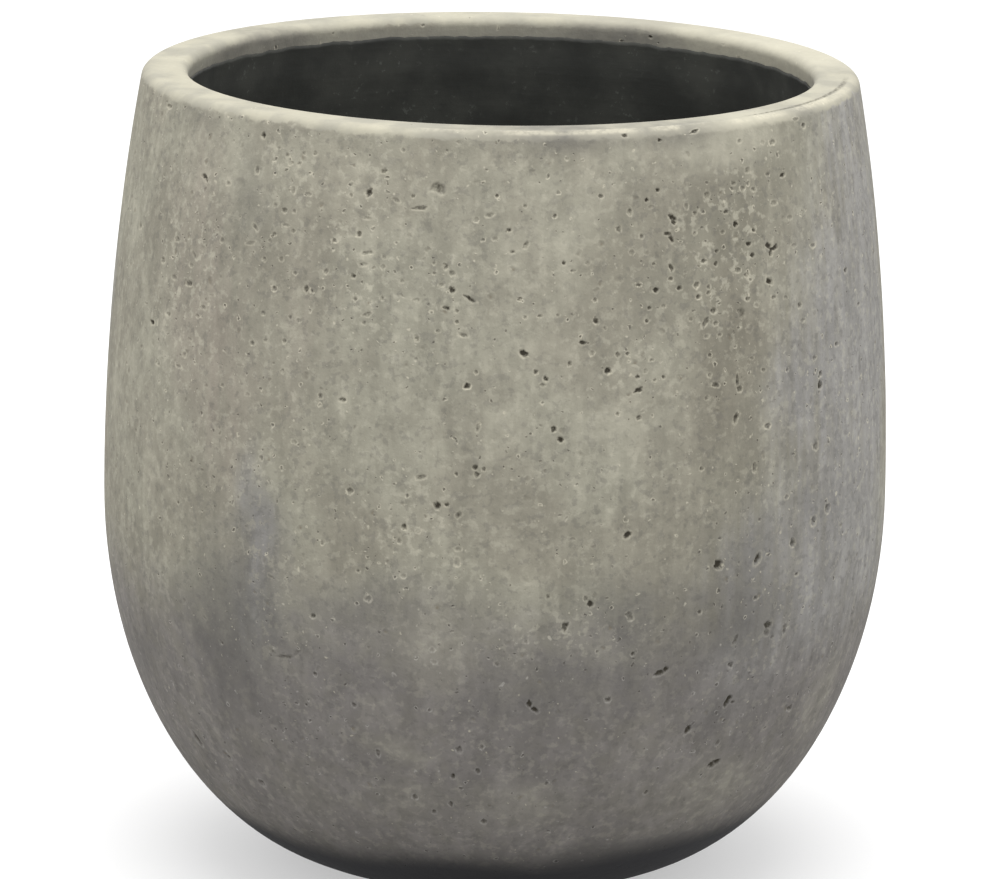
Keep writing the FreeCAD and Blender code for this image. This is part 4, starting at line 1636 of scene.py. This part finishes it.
@dataclass
class StonePot:
    """The casting, with its pores, its uneven faces, what the weather left on it, and the light and shade
    painted on it.
    """

    shape: PotShape
    camera: PhotoCamera
    finish: CastStone = CastStone()
    node: str = "pot_body"
    body: str = "pot"
    slot: str = "cast_stone"
    seed: int = 41

    # Stretches of the smooth casting
    steps: int = 216
    base_stretches: int = 40
    wall_stretches: int = 34
    outer_round_stretches: int = 10
    rim_stretches: int = 11
    inner_round_stretches: int = 7
    inside_stretches: int = 10
    recess_stretches: int = 3
    under_round: float = 2 * MM

    # Pores: those of the photograph, and others by chance
    pixel_on_pot: float = 0.41 * MM
    least_width_seen: float = 0.5
    least_height_seen: float = 0.6
    faint_tones: tuple[float, float] = (0.42, 1.1)
    dark_tones: tuple[float, float] = (0.9, 1.1)
    in_sight: PoreChances = PoreChances((0.5 * MM, 0.85 * MM, 0.65 * MM), (0.15, 0.45))
    out_of_sight: PoreChances = PoreChances((0.5 * MM, 2.2 * MM, 0.65 * MM), (0.15, 1.0))
    single_pores: int = 60
    pore_groups: int = 20
    group_pores: tuple[int, int] = (4, 9)
    group_height: float = 13 * MM
    group_turn: float = 0.06
    bare_foot: float = 18 * MM
    bare_rim: float = 8 * MM
    group_over_foot: float = 50 * MM
    group_under_rim: float = 15 * MM
    least_pore_depth: float = 0.35 * MM
    pore_depth_of_width: float = 0.75
    faint_pore_depth: float = 0.3
    refinements: int = 5
    grid_slack: float = 1.5

    # What the photograph shows, and the stains elsewhere
    seen_turn: float = math.radians(80)
    unseen_fade: float = math.radians(40)
    unseen_stains: int = 26
    stain_over_foot: float = 40 * MM
    stain_under_rim: float = 30 * MM
    stain_half_wide: tuple[float, float] = (12 * MM, 36 * MM)
    stain_tallness: tuple[float, float] = (0.7, 2.2)
    stain_strength: tuple[float, float] = (0.25, 0.6)
    warp_closeness: float = 24
    warp_reach: float = 9 * MM

    # The tide line, and the painted shade along the base
    tide_z: float = 145 * MM
    tide_below: float = 34 * MM
    tide_above: float = 28 * MM
    tide_closeness: float = 14
    tide_wave: float = 9 * MM
    unseen_tide_wave: float = 16 * MM
    base_shade_height: float = 21 * MM
    base_shade_fade: float = 17 * MM
    base_shade_warp: float = 0.4
    base_shade_rise: float = 5 * MM
    base_shade_rise_from: tuple[float, float] = degrees(5, 45)
    base_shade_rise_until: tuple[float, float] = degrees(100, 165)

    # The hand-finished face and the rim
    wide_swell: float = 0.26 * MM
    wide_closeness: float = 11
    narrow_swell: float = 0.12 * MM
    narrow_closeness: float = 48
    rim_smoothing: float = 0.7
    rim_rub: float = 0.16 * MM
    rim_rub_from: tuple[float, float] = (3 * MM, 0.8 * MM)
    lip_height: float = 8 * MM
    edge_soft: float = 0.7 * MM
    rough_from: tuple[float, float] = degrees(-40, 8)
    rough_until: tuple[float, float] = degrees(62, 95)
    rough_behind: tuple[float, float] = degrees(100, 130)
    rough_behind_most: float = 0.35
    ridge_insets: tuple[float, float] = (2.2 * MM, 5.5 * MM)
    # The pale crust on the rough edge, partly a painted highlight
    crust_insets: tuple[float, float] = (0.9 * MM, 4.6 * MM)
    crust_most: float = 0.5
    crust_breaks: tuple[float, float] = (0.42, 0.62)
    crust_closeness: float = 110
    ridge_closeness: float = 130
    seam_insets: tuple[float, float] = (5.3 * MM, 6.4 * MM)
    seam_most: float = 0.8
    seam_from: tuple[float, float] = degrees(40, 50)
    seam_until: tuple[float, float] = degrees(78, 88)

    pores: list[Pore] = field(default_factory=list)
    patches: dict[Film, list[Patch]] = field(default_factory=dict)

    def outline(self) -> list[Vector]:
        """The half section, from the foot's outer edge up, over the rim, and back under the foot.

        Returns:
            The points of the closed outline.
        """
        shape = self.shape
        outer_top = shape.wall_point(0, shape.rim_z)
        inner_top = shape.wall_point(shape.wall, shape.rim_z)
        outer_low = shape.wall_point(0, shape.rim_z - shape.rim_outer_round)
        inner_low = shape.wall_point(shape.wall, shape.rim_z - shape.rim_inner_round)
        outer_round = soft_corner(
            outer_low, outer_top, inner_top, shape.rim_outer_round, self.outer_round_stretches
        )
        inner_round = soft_corner(
            outer_top, inner_top, inner_low, shape.rim_inner_round, self.inner_round_stretches
        )
        outer_z = outer_round[0].z - self.under_round
        inner_z = inner_round[-1].z - self.under_round
        points = shape.base_points(0, shape.foot_radius, shape.foot_z, self.base_stretches)
        points += shape.wall_points(0, outer_z, self.wall_stretches)
        points += outer_round
        points += between(outer_round[-1], inner_round[0], self.rim_stretches)
        points += inner_round
        points += reversed(shape.wall_points(shape.wall, inner_z, self.inside_stretches))
        points += reversed(
            shape.base_points(shape.wall, shape.cavity_floor_radius, shape.floor_z, self.inside_stretches)
        )
        return points + self.underside()

    def underside(self) -> list[Vector]:
        """The section's points from the drain's top, down it, and out to the foot ring.

        Returns:
            The points.
        """
        shape = self.shape
        recess_z = shape.foot_z + shape.recess_depth
        ring_edge = Vector((shape.foot_radius - shape.foot_ring, 0, shape.foot_z))
        recess_edge = Vector((ring_edge.x - shape.recess_depth, 0, recess_z))
        drain_low = Vector((shape.drain_radius, 0, recess_z))
        drain_top = Vector((shape.drain_radius, 0, shape.floor_z))
        foot_edge = Vector((shape.foot_radius, 0, shape.foot_z))
        count = self.recess_stretches
        return [
            drain_top,
            drain_low,
            *soft_corner(drain_low, recess_edge, ring_edge, shape.recess_round, count),
            *soft_corner(recess_edge, ring_edge, foot_edge, shape.recess_round, count),
        ]

    def find_pores(self, mesh: BMesh) -> None:
        """Cast the photograph's pores onto the mesh and scatter more over the rest.

        Args:
            mesh: The smooth casting.
        """
        tree = BVHTree.FromBMesh(mesh)
        chance = random.Random(self.seed)
        for seen in SEEN_PORES:
            self.seen_pore(tree, seen, chance)
        low = self.shape.foot_z + self.bare_foot
        high = self.shape.rim_z - self.bare_rim
        for _ in range(self.single_pores):
            turn = math.pi + chance.uniform(-1, 1) * (math.pi - self.seen_turn / 3)
            self.scatter_pore(tree, turn, chance.uniform(low, high), chance)
        for _ in range(self.pore_groups):
            middle = math.pi + chance.uniform(-1, 1) * (math.pi - self.seen_turn)
            height = chance.uniform(low + self.group_over_foot, high - self.group_under_rim)
            for _ in range(chance.randint(*self.group_pores)):
                z = min(high, max(low, height + chance.gauss(0, self.group_height)))
                self.scatter_pore(tree, middle + chance.gauss(0, self.group_turn), z, chance)

    def seen_pore(self, tree: BVHTree, seen: SeenPore, chance: random.Random) -> None:
        """Note one of the photograph's pores, its sizes corrected for the face's slant.

        Args:
            tree: The smooth casting.
            seen: The pore in the photograph.
            chance: Where its tone and its uneven edge come from.
        """
        look = self.camera.look(Pixel(seen.x, seen.y))
        centre, normal, _, _ = tree.ray_cast(self.camera.place(), look)
        level = abs(normal.xy.normalized().dot(look.xy.normalized()))
        upright = abs(normal.dot(look.normalized())) / max(0.1, level)
        width_seen = max(self.least_width_seen, level)
        height_seen = min(1.0, max(self.least_height_seen, upright))
        half_wide = seen.wide / 2 * self.pixel_on_pot / width_seen
        half_tall = seen.tall / 2 * self.pixel_on_pot / height_seen
        tones = self.faint_tones if seen.dark <= 1 else self.dark_tones
        dark = seen.darkness() * chance.uniform(*tones)
        lean = math.radians(seen.lean)
        self.add_pore(centre, normal, half_wide, half_tall, lean, seen.ring, dark, chance)

    def scatter_pore(self, tree: BVHTree, turn: float, z: float, chance: random.Random) -> None:
        """Note one pore that the photograph doesn't show, small and pale where it could have.

        Args:
            tree: The smooth casting.
            turn: Where it is about the axis.
            z: Its height.
            chance: Where its size and tones come from.
        """
        start = Vector((math.sin(turn), -math.cos(turn), z))
        centre, normal, _, _ = tree.ray_cast(start, Vector((-start.x, -start.y, 0)))
        bounds = self.in_sight if abs(around(turn, 0)) < self.seen_turn else self.out_of_sight
        half_wide = chance.triangular(*bounds.half_wide)
        half_tall = half_wide * chance.uniform(*bounds.tallness)
        lean = chance.uniform(*bounds.lean)
        dark = chance.uniform(*bounds.dark)
        ring = chance.uniform(*bounds.ring)
        self.add_pore(centre, normal, half_wide, half_tall, lean, ring, dark, chance)

    def add_pore(
        self,
        centre: Vector,
        normal: Vector,
        half_wide: float,
        half_tall: float,
        lean: float,
        ring: float,
        dark: float,
        chance: random.Random,
    ) -> None:
        """Note one pore of the face.

        Args:
            centre: Its middle on the smooth face.
            normal: The face's direction there.
            half_wide: Half its width.
            half_tall: Half its height.
            lean: How far its upper end leans to the left, in radians.
            ring: How pale its edge is, from 0 to 1.
            dark: How dark it is inside, from 0 to 1.
            chance: Where its uneven edge comes from.
        """
        level = Vector((0, 0, 1)).cross(normal).normalized()
        upright = normal.cross(level)
        across = level * math.cos(lean) + upright * math.sin(lean)
        along = upright * math.cos(lean) - level * math.sin(lean)
        depth = self.least_pore_depth + self.pore_depth_of_width * min(half_wide, half_tall)
        depth *= min(1.0, self.faint_pore_depth + dark)
        seed = chance.uniform(0, 50)
        self.pores.append(Pore(centre, across, along, half_wide, half_tall, depth, ring, dark, seed))

    def find_patches(self, mesh: BMesh) -> None:
        """Cast the photograph's stains and patches of painted light and shade onto the mesh, and lay other
        stains on the side that it doesn't show.

        Args:
            mesh: The smooth casting.
        """
        tree = BVHTree.FromBMesh(mesh)
        for seen in SEEN_PATCHES:
            look = self.camera.look(Pixel(seen.x, seen.y))
            centre, _, _, _ = tree.ray_cast(self.camera.place(), look)
            patch = Patch(azimuth(centre), centre.z, seen.half_wide, seen.half_tall, seen.strength)
            self.patches.setdefault(seen.film, []).append(patch)
        chance = random.Random(self.seed + 1)
        low = self.shape.foot_z + self.stain_over_foot
        high = self.shape.rim_z - self.stain_under_rim
        films = (Film.ROSE, Film.UMBER, Film.SLATE, Film.SHADE, Film.BLOOM, Film.RAW)
        for _ in range(self.unseen_stains):
            film = chance.choice(films)
            turn = math.pi + chance.uniform(-1, 1) * (math.pi - self.seen_turn)
            z = chance.uniform(low, high)
            half_wide = chance.uniform(*self.stain_half_wide)
            half_tall = half_wide * chance.uniform(*self.stain_tallness)
            patch = Patch(turn, z, half_wide, half_tall, chance.uniform(*self.stain_strength))
            self.patches.setdefault(film, []).append(patch)

    def pore_tree(self) -> KDTree:
        """The pores' middles, ready to be looked up by place.

        Returns:
            The tree.
        """
        tree = KDTree(len(self.pores))
        for number, pore in enumerate(self.pores):
            tree.insert(pore.centre, number)
        tree.balance()
        return tree

    def refine(self, mesh: BMesh, tree: KDTree) -> None:
        """Divide the mesh around the pores until it can hold their shapes.

        Args:
            mesh: The smooth casting.
            tree: The pores by place.
        """
        widest = max(pore.reach for pore in self.pores)
        bmesh.ops.triangulate(mesh, faces=mesh.faces)
        for _ in range(self.refinements):
            coarse = {edge for edge in mesh.edges if self.is_coarse(edge, tree, widest)}
            if not coarse:
                return
            self.divide(mesh, coarse)

    def is_coarse(self, edge: BMEdge, tree: KDTree, widest: float) -> bool:
        """Whether an edge is too long for a pore that it is near.

        Args:
            edge: The edge.
            tree: The pores by place.
            widest: The farthest that any pore reaches.

        Returns:
            True where it is to be halved.
        """
        length = edge.calc_length()
        middle = (edge.verts[0].co + edge.verts[1].co) / 2
        for _, number, gap in tree.find_range(middle, widest + length / 2):
            pore = self.pores[number]
            if length > pore.grid * self.grid_slack and gap < pore.reach + length / 2:
                return True
        return False

    def divide(self, mesh: BMesh, edges: set[BMEdge]) -> None:
        """Halve edges, and with them every third edge of a triangle that would have two halved.

        Args:
            mesh: The casting, all triangles.
            edges: The edges to halve.
        """
        waiting = [face for edge in edges for face in edge.link_faces]
        while waiting:
            whole = [edge for edge in waiting.pop().edges if edge not in edges]
            if len(whole) == 1:
                edges.add(whole[0])
                waiting += whole[0].link_faces
        bmesh.ops.subdivide_edges(
            mesh, edges=list(edges), cuts=1, use_grid_fill=True, use_single_edge=True
        )

    def is_outside(self, point: Vector) -> bool:
        """Whether a place is on the face that shows, the rim's lip included.

        Args:
            point: The place.

        Returns:
            True where it is.
        """
        if point.z > self.shape.rim_z - self.lip_height:
            return True
        return math.hypot(point.x, point.y) > self.shape.radius(point.z) - self.shape.wall / 2

    def weather(self, mesh: BMesh, tree: KDTree) -> None:
        """Sink the pores, make the faces uneven and measure every film.

        Args:
            mesh: The divided casting.
            tree: The pores by place.
        """
        layers = {film: mesh.verts.layers.float.new(film.value) for film in Film}
        pit = layers[Film.PIT]
        crust = layers[Film.CRUST_AND_PAINTED_LIGHT]
        widest = max(pore.reach for pore in self.pores)
        # Vector noise starts from the clock unless it is seeded
        noise.seed_set(self.seed)
        mesh.normal_update()
        moves: list[tuple[BMVert, Vector]] = []
        for vert in mesh.verts:
            if not self.is_outside(vert.co):
                continue
            for film, value in self.films(vert.co).items():
                vert[layers[film]] = value
            sink = self.unevenness(vert.co)
            for _, number, gap in tree.find_range(vert.co, widest):
                pore = self.pores[number]
                if gap > pore.reach:
                    continue
                near = pore.nearness(vert.co)
                if near < 1:
                    sink = max(sink, pore.sink(near))
                vert[pit] = max(vert[pit], pore.darkness(near))
                vert[crust] = max(vert[crust], pore.paleness(vert.co, near))
            moves.append((vert, vert.normal * -sink))
        for vert, move in moves:
            vert.co += move

    def unevenness(self, point: Vector) -> float:
        """How far the hand-finished face lies under the true one.

        Args:
            point: A place on the true face.

        Returns:
            The depth.
        """
        wide = swell(point * self.wide_closeness)
        narrow = swell(point * self.narrow_closeness + Vector((3, 7, 1)))
        below, above = self.rim_rub_from
        top = eased(point.z, self.shape.rim_z - below, self.shape.rim_z - above)
        sink = (self.wide_swell * wide + self.narrow_swell * narrow) * (1 - self.rim_smoothing * top)
        return sink + top * self.rim_sink(point)

    def edge_run(self, point: Vector) -> float:
        """How much of the rim's outer edge is left rough there: most on the right of the front.

        Args:
            point: A place on the rim.

        Returns:
            The roughness, from 0 to 1.
        """
        turn = azimuth(point)
        behind = self.rough_behind_most * eased(abs(turn), *self.rough_behind)
        return max(plateau(turn, self.rough_from, self.rough_until), behind)

    def on_edge(self, point: Vector, insets: tuple[float, float]) -> float:
        """Whether a place on the rim lies between two distances in from its outer side.

        Args:
            point: The place.
            insets: The two distances.

        Returns:
            1 between them and 0 beyond them, with soft ends.
        """
        inset = self.shape.wall_point(0, self.shape.rim_z).x - math.hypot(point.x, point.y)
        rise, fall = ((edge - self.edge_soft, edge + self.edge_soft) for edge in insets)
        return plateau(inset, rise, fall)

    def rim_sink(self, point: Vector) -> float:
        """How far the rim's top lies under the true one, beside the rough edge that was left on it.

        Args:
            point: A place on the rim.

        Returns:
            The depth.
        """
        crumble = 0.5 + 0.9 * noise.noise(point * self.ridge_closeness)
        ridge = self.edge_run(point) * self.on_edge(point, self.ridge_insets) * crumble
        return self.rim_rub * (1 - min(1.0, max(0.0, ridge)))

    def rim_crust(self, point: Vector) -> float:
        """How pale the rough edge is there: pale crust, partly a painted highlight on the lit edge.

        Args:
            point: A place on the rim.

        Returns:
            The paleness, from 0 to 1.
        """
        broken = eased(swell(point * self.crust_closeness + Vector((1, 2, 3))), *self.crust_breaks)
        rough = self.edge_run(point) * self.on_edge(point, self.crust_insets)
        return self.crust_most * rough * broken

    def rim_seam(self, point: Vector) -> float:
        """How dark the seam is that runs along the inside of the rough edge on the right."""
        run = plateau(azimuth(point), self.seam_from, self.seam_until)
        return self.seam_most * run * self.on_edge(point, self.seam_insets)

    def films(self, point: Vector) -> dict[Film, float]:
        """Every film's measure at a place on the face, pores left out.

        Args:
            point: The place.

        Returns:
            The measures, from 0 to 1.
        """
        shape = self.shape
        warp = noise.noise_vector(point * self.warp_closeness) * self.warp_reach
        turn = azimuth(point + warp)
        radius = math.hypot(point.x, point.y)
        z = point.z + warp.z
        films = {
            film: min(1.0, sum(patch.weight(turn, radius, z) for patch in patches))
            for film, patches in self.patches.items()
        }
        films[Film.TIDE] = self.tide(point, turn, z)
        # Painted shade along the base
        films[Film.PAINTED_BASE_SHADE] = self.painted_base_shading(turn, point.z + self.base_shade_warp * warp.z)
        films[Film.RIM] = min(1.0, max(0.0, 1 - (shape.rim_z - point.z) / self.lip_height))
        inner = radius < shape.wall_point(shape.wall / 2, shape.rim_z).x
        high = point.z > shape.rim_z - self.lip_height
        films[Film.LIP] = 1 - films[Film.RIM] if inner and high else 0
        if films[Film.RIM] > 0 and not inner:
            # Pale crust on the rim's rough edge, partly a painted highlight, and its dark seam
            films[Film.CRUST_AND_PAINTED_LIGHT] = self.rim_crust(point)
            films[Film.PIT] = self.rim_seam(point)
        return films

    def tide(self, point: Vector, turn: float, z: float) -> float:
        """How far a place lies under the wavy line below which the stone is darker.

        Args:
            point: The place.
            turn: Where it is about the axis, warped.
            z: Its height, warped.

        Returns:
            The measure, from 0 to 1.
        """
        unseen = eased(abs(turn), self.seen_turn, self.seen_turn + self.unseen_fade)
        reach = self.tide_wave + self.unseen_tide_wave * unseen
        closeness = self.tide_closeness
        wave = reach * noise.noise(Vector((point.x * closeness, point.y * closeness, 2.0)))
        return 1 - eased(z + wave, self.tide_z - self.tide_below, self.tide_z + self.tide_above)

    def painted_base_shading(self, turn: float, z: float) -> float:
        """How much painted shade darkens the base there, as shade near the floor would: its band rises on
        the right of the front.

        Args:
            turn: Where the place is about the axis, warped.
            z: Its height, warped.

        Returns:
            The measure, from 0 to 1.
        """
        risen = self.base_shade_rise * plateau(turn, self.base_shade_rise_from, self.base_shade_rise_until)
        base_shade_z = self.shape.foot_z + self.base_shade_height + risen
        return 1 - eased(z, base_shade_z, base_shade_z + self.base_shade_fade)

    def build(self) -> Object:
        """Model and dress the casting.

        Returns:
            The piece that stands for it.
        """
        mesh = spun(self.outline(), self.steps)
        self.find_pores(mesh)
        self.find_patches(mesh)
        tree = self.pore_tree()
        self.refine(mesh, tree)
        self.weather(mesh, tree)
        log.info("pot_body: %d pores, %d triangles", len(self.pores), len(mesh.faces))
        piece = finished(mesh, "weathered_pot_body", self.body, self.finish.material())
        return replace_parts(piece, self.node)


@dataclass(frozen=True)
class Stroke:
    """How far brush strokes of one closeness pull the coat's edge down."""

    closeness: float
    level: float
    reach: float

    def pull(self, place: Vector) -> float:
        """How far the edge is pulled down there."""
        return self.reach * swell(Vector((place.x * self.closeness, place.y * self.closeness, self.level)))


@dataclass
class SealCoat:
    """The dark coat inside, with a ragged brushed edge."""

    shape: PotShape
    finish: BrushedSeal = BrushedSeal()
    node: str = "inner_seal_coat"
    body: str = "pot"
    slot: str = "seal_coat"
    steps: int = 360
    face_base_stretches: int = 16
    face_wall_stretches: int = 20
    edge_stretches: int = 10
    back_base_stretches: int = 10
    back_wall_stretches: int = 8
    thickness: float = 1.2 * MM
    edge_thickness: float = 0.12 * MM
    thinning: float = 20 * MM
    back_under_edge: float = 3 * MM
    edge_film_height: float = 4 * MM
    brushed_height: float = 14 * MM
    strokes: tuple[Stroke, ...] = (
        Stroke(16, 4.0, 1.6 * MM),
        Stroke(90, 9.0, 1.6 * MM),
        Stroke(260, 1.0, 1.1 * MM),
    )

    def outline(self) -> list[Vector]:
        """The coat's half section, up its open face and down its back.

        Returns:
            The points of the closed outline.
        """
        shape = self.shape
        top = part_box(self.node)[1].z
        face = shape.wall + self.thickness
        seat_z = shape.floor_z + self.thickness
        points = [Vector((shape.drain_radius, 0, seat_z))]
        points += shape.base_points(face, shape.cavity_floor_radius, seat_z, self.face_base_stretches)
        points += shape.wall_points(face, top - self.thinning, self.face_wall_stretches)
        for step in range(1, self.edge_stretches + 1):
            share = step / self.edge_stretches
            film = self.thickness + (self.edge_thickness - self.thickness) * eased(share, 0, 1)
            points.append(shape.wall_point(shape.wall + film, top - self.thinning * (1 - share)))
        points.append(shape.wall_point(shape.wall, top))
        points += reversed(
            shape.wall_points(shape.wall, top - self.back_under_edge, self.back_wall_stretches)
        )
        points += reversed(
            shape.base_points(
                shape.wall, shape.cavity_floor_radius, shape.floor_z, self.back_base_stretches
            )
        )
        points.append(Vector((shape.drain_radius, 0, shape.floor_z)))
        return points

    def brush(self, mesh: BMesh) -> None:
        """Let the coat's upper edge wander as a brush leaves it.

        Args:
            mesh: The even coat.
        """
        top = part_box(self.node)[1].z
        layer = mesh.verts.layers.float.new(self.finish.edge_film)
        for vert in mesh.verts:
            vert[layer] = eased(vert.co.z, top - self.edge_film_height, top)
            nearness = eased(vert.co.z, top - self.brushed_height, top)
            vert.co.z -= nearness * sum(stroke.pull(vert.co) for stroke in self.strokes)

    def build(self) -> Object:
        """Model and dress the coat.

        Returns:
            The piece that stands for it.
        """
        mesh = spun(self.outline(), self.steps)
        self.brush(mesh)
        log.info("inner_seal_coat: %d faces", len(mesh.faces))
        piece = finished(mesh, "brushed_seal_coat", self.body, self.finish.material())
        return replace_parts(piece, self.node)


@dataclass
class DrainPlug:
    """The lift-out plug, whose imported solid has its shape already."""

    finish: MatteRubber = MatteRubber(
        "plug_rubber", srgb(40, 40, 40), srgb(62, 61, 58), Grain(0.5 * MM, 2, 0.6)
    )
    node: str = "drain_plug"

    def build(self) -> Object:
        """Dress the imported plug.

        Returns:
            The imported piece.
        """
        plug = frame["nodes"][self.node]
        plug.data.materials.clear()
        plug.data.materials.append(self.finish.material())
        log.info("drain_plug: dressed")
        return plug


@dataclass
class FloorPads:
    """Four rubber pads under the foot ring."""

    finish: MatteRubber = MatteRubber(
        "pad_rubber", srgb(46, 46, 45), srgb(70, 68, 64), Grain(0.8 * MM, 2, 0.6)
    )
    body: str = "pot"
    slot: str = "pad_rubber"
    count: int = 4
    sides: int = 48
    edge_round: float = 0.6 * MM
    edge_segments: int = 3
    groove_margin: float = 1.6 * MM
    groove_side: float = 0.3 * MM
    groove_floor: float = 0.8 * MM
    groove_depth: float = 0.5 * MM
    facing_down: float = -0.999
    sharp_angle: float = math.radians(40)

    def sole(self, mesh: BMesh) -> list[BMFace]:
        """The faces of a pad that lie flat on the ground."""
        return [face for face in mesh.faces if face.normal.z < self.facing_down]

    def blank(self, low: Vector, high: Vector) -> BMesh:
        """Model a pad without grooves.

        Args:
            low: The lower corner of its box.
            high: The upper corner of its box.

        Returns:
            The disc, its lower edge rounded.
        """
        mesh = bmesh.new()
        radius = (high.x - low.x) / 2
        bmesh.ops.create_cone(
            mesh,
            cap_ends=True,
            segments=self.sides,
            radius1=radius,
            radius2=radius,
            depth=high.z - low.z,
            matrix=Matrix.Translation((low + high) / 2),
        )
        bmesh.ops.bevel(
            mesh,
            geom=list(self.sole(mesh)[0].edges),
            offset=self.edge_round,
            affect="EDGES",
            segments=self.edge_segments,
            profile=0.5,
            material=-1,
        )
        return mesh

    def groove(self, mesh: BMesh) -> None:
        """Cut a grip groove round the underside of a pad.

        Args:
            mesh: The pad.
        """
        sole = self.sole(mesh)
        cuts = (
            (self.groove_margin, 0),
            (self.groove_side, -self.groove_depth),
            (self.groove_floor, 0),
            (self.groove_side, self.groove_depth),
        )
        for width, depth in cuts:
            bmesh.ops.inset_region(mesh, faces=sole, thickness=width, depth=depth, use_even_offset=True)

    def pad(self, number: int, material: Material) -> Object:
        """Model and dress one pad, with a grip groove in its underside.

        Args:
            number: Which pad, from 1.
            material: The pads' finish.

        Returns:
            The piece that stands for it.
        """
        node = f"floor_pad_{number}"
        mesh = self.blank(*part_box(node))
        self.groove(mesh)
        log.info("%s: %d faces", node, len(mesh.faces))
        piece = finished(mesh, f"grip_{node}", self.body, material)
        piece.data.set_sharp_from_angle(angle=self.sharp_angle)
        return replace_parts(piece, node)

    def build(self) -> list[Object]:
        """Model and dress every pad.

        Returns:
            The pieces.
        """
        material = self.finish.material()
        return [self.pad(number, material) for number in range(1, self.count + 1)]


@dataclass(frozen=True)
class Studio:
    """A pale floor under an even, soft light that comes mostly from above."""

    white: Colour = (1.0, 1.0, 1.0, 1.0)
    floor_half: float = 9.0
    floor_seen: Colour = (0.97, 0.97, 0.97, 1.0)
    floor_bounce: Colour = (0.3, 0.3, 0.3, 1.0)
    floor_glow: float = 0.45
    sky: float = 1.11
    lamp_watts: float = 72.0
    lamp_size: float = 3.0
    lamp_place: tuple[float, float, float] = (0.0, -0.5, 3.2)

    def floor(self) -> Object:
        """Make the floor, white to look at and dim to the light that it throws back.

        Returns:
            The floor.
        """
        mesh = bmesh.new()
        bmesh.ops.create_grid(mesh, x_segments=2, y_segments=2, size=self.floor_half)
        data = bpy.data.meshes.new("studio_floor")
        mesh.to_mesh(data)
        mesh.free()
        material, graph = material_graph("studio_floor")
        looked_at = self.looked_at(graph)
        colour = graph.mix(looked_at, self.floor_bounce, self.floor_seen)
        lit = graph.node("BsdfDiffuse", {"Color": colour}).outputs["BSDF"]
        white = graph.node("Emission", {"Color": self.white, "Strength": 1.0}).outputs["Emission"]
        share = graph.times(looked_at, self.floor_glow)
        graph.surface(graph.node("MixShader", {0: share, 1: lit, 2: white}).outputs["Shader"])
        data.materials.append(material)
        floor = bpy.data.objects.new("studio_floor", data)
        bpy.context.scene.collection.objects.link(floor)
        return floor

    def looked_at(self, graph: Graph) -> NodeSocket:
        """1 where something is looked at, straight, mirrored or through glass, and 0 where it lights.

        Args:
            graph: The graph of a material or of the world.

        Returns:
            The value.
        """
        path = graph.node("LightPath")
        straight = graph.math("MAXIMUM", path.outputs["Is Camera Ray"], path.outputs["Is Glossy Ray"])
        return graph.math("MAXIMUM", straight, path.outputs["Is Transmission Ray"])

    def world(self) -> None:
        """Light the scene evenly from all round, with a white background."""
        world = bpy.data.worlds.new("studio_world")
        world.use_nodes = True
        graph = Graph(world.node_tree)
        strength = graph.span(self.looked_at(graph), Ramp(0, 1, self.sky, 1, soft=False))
        background = graph.node("Background", {"Color": self.white, "Strength": strength})
        graph.node("OutputWorld", {"Surface": background.outputs["Background"]})
        bpy.context.scene.world = world

    def lamp(self) -> Object:
        """Hang a wide lamp over the pot, a little towards the viewer.

        Returns:
            The lamp.
        """
        data = bpy.data.lights.new("overhead_lamp", "AREA")
        data.shape = "DISK"
        data.size = self.lamp_size
        data.energy = self.lamp_watts
        lamp = bpy.data.objects.new("overhead_lamp", data)
        lamp.location = self.lamp_place
        lamp.rotation_euler = (-Vector(self.lamp_place)).to_track_quat("-Z", "Y").to_euler()
        lamp.visible_camera = False
        bpy.context.scene.collection.objects.link(lamp)
        return lamp

    def build(self) -> None:
        """Make the floor and the lights, and set how colours are shown."""
        self.floor()
        self.world()
        self.lamp()
        bpy.context.scene.view_settings.view_transform = "Standard"


def main() -> None:
    """Build the studio and then the pot, piece by piece."""
    logging.basicConfig(level=logging.INFO, format="%(message)s")
    camera = PhotoCamera()
    camera.build()
    Studio().build()
    shape = PotShape.of_frame()
    pieces: list[Object] = [
        StonePot(shape, camera).build(),
        SealCoat(shape).build(),
        DrainPlug().build(),
        *FloorPads().build(),
    ]


if __name__ == "__main__":
    main()
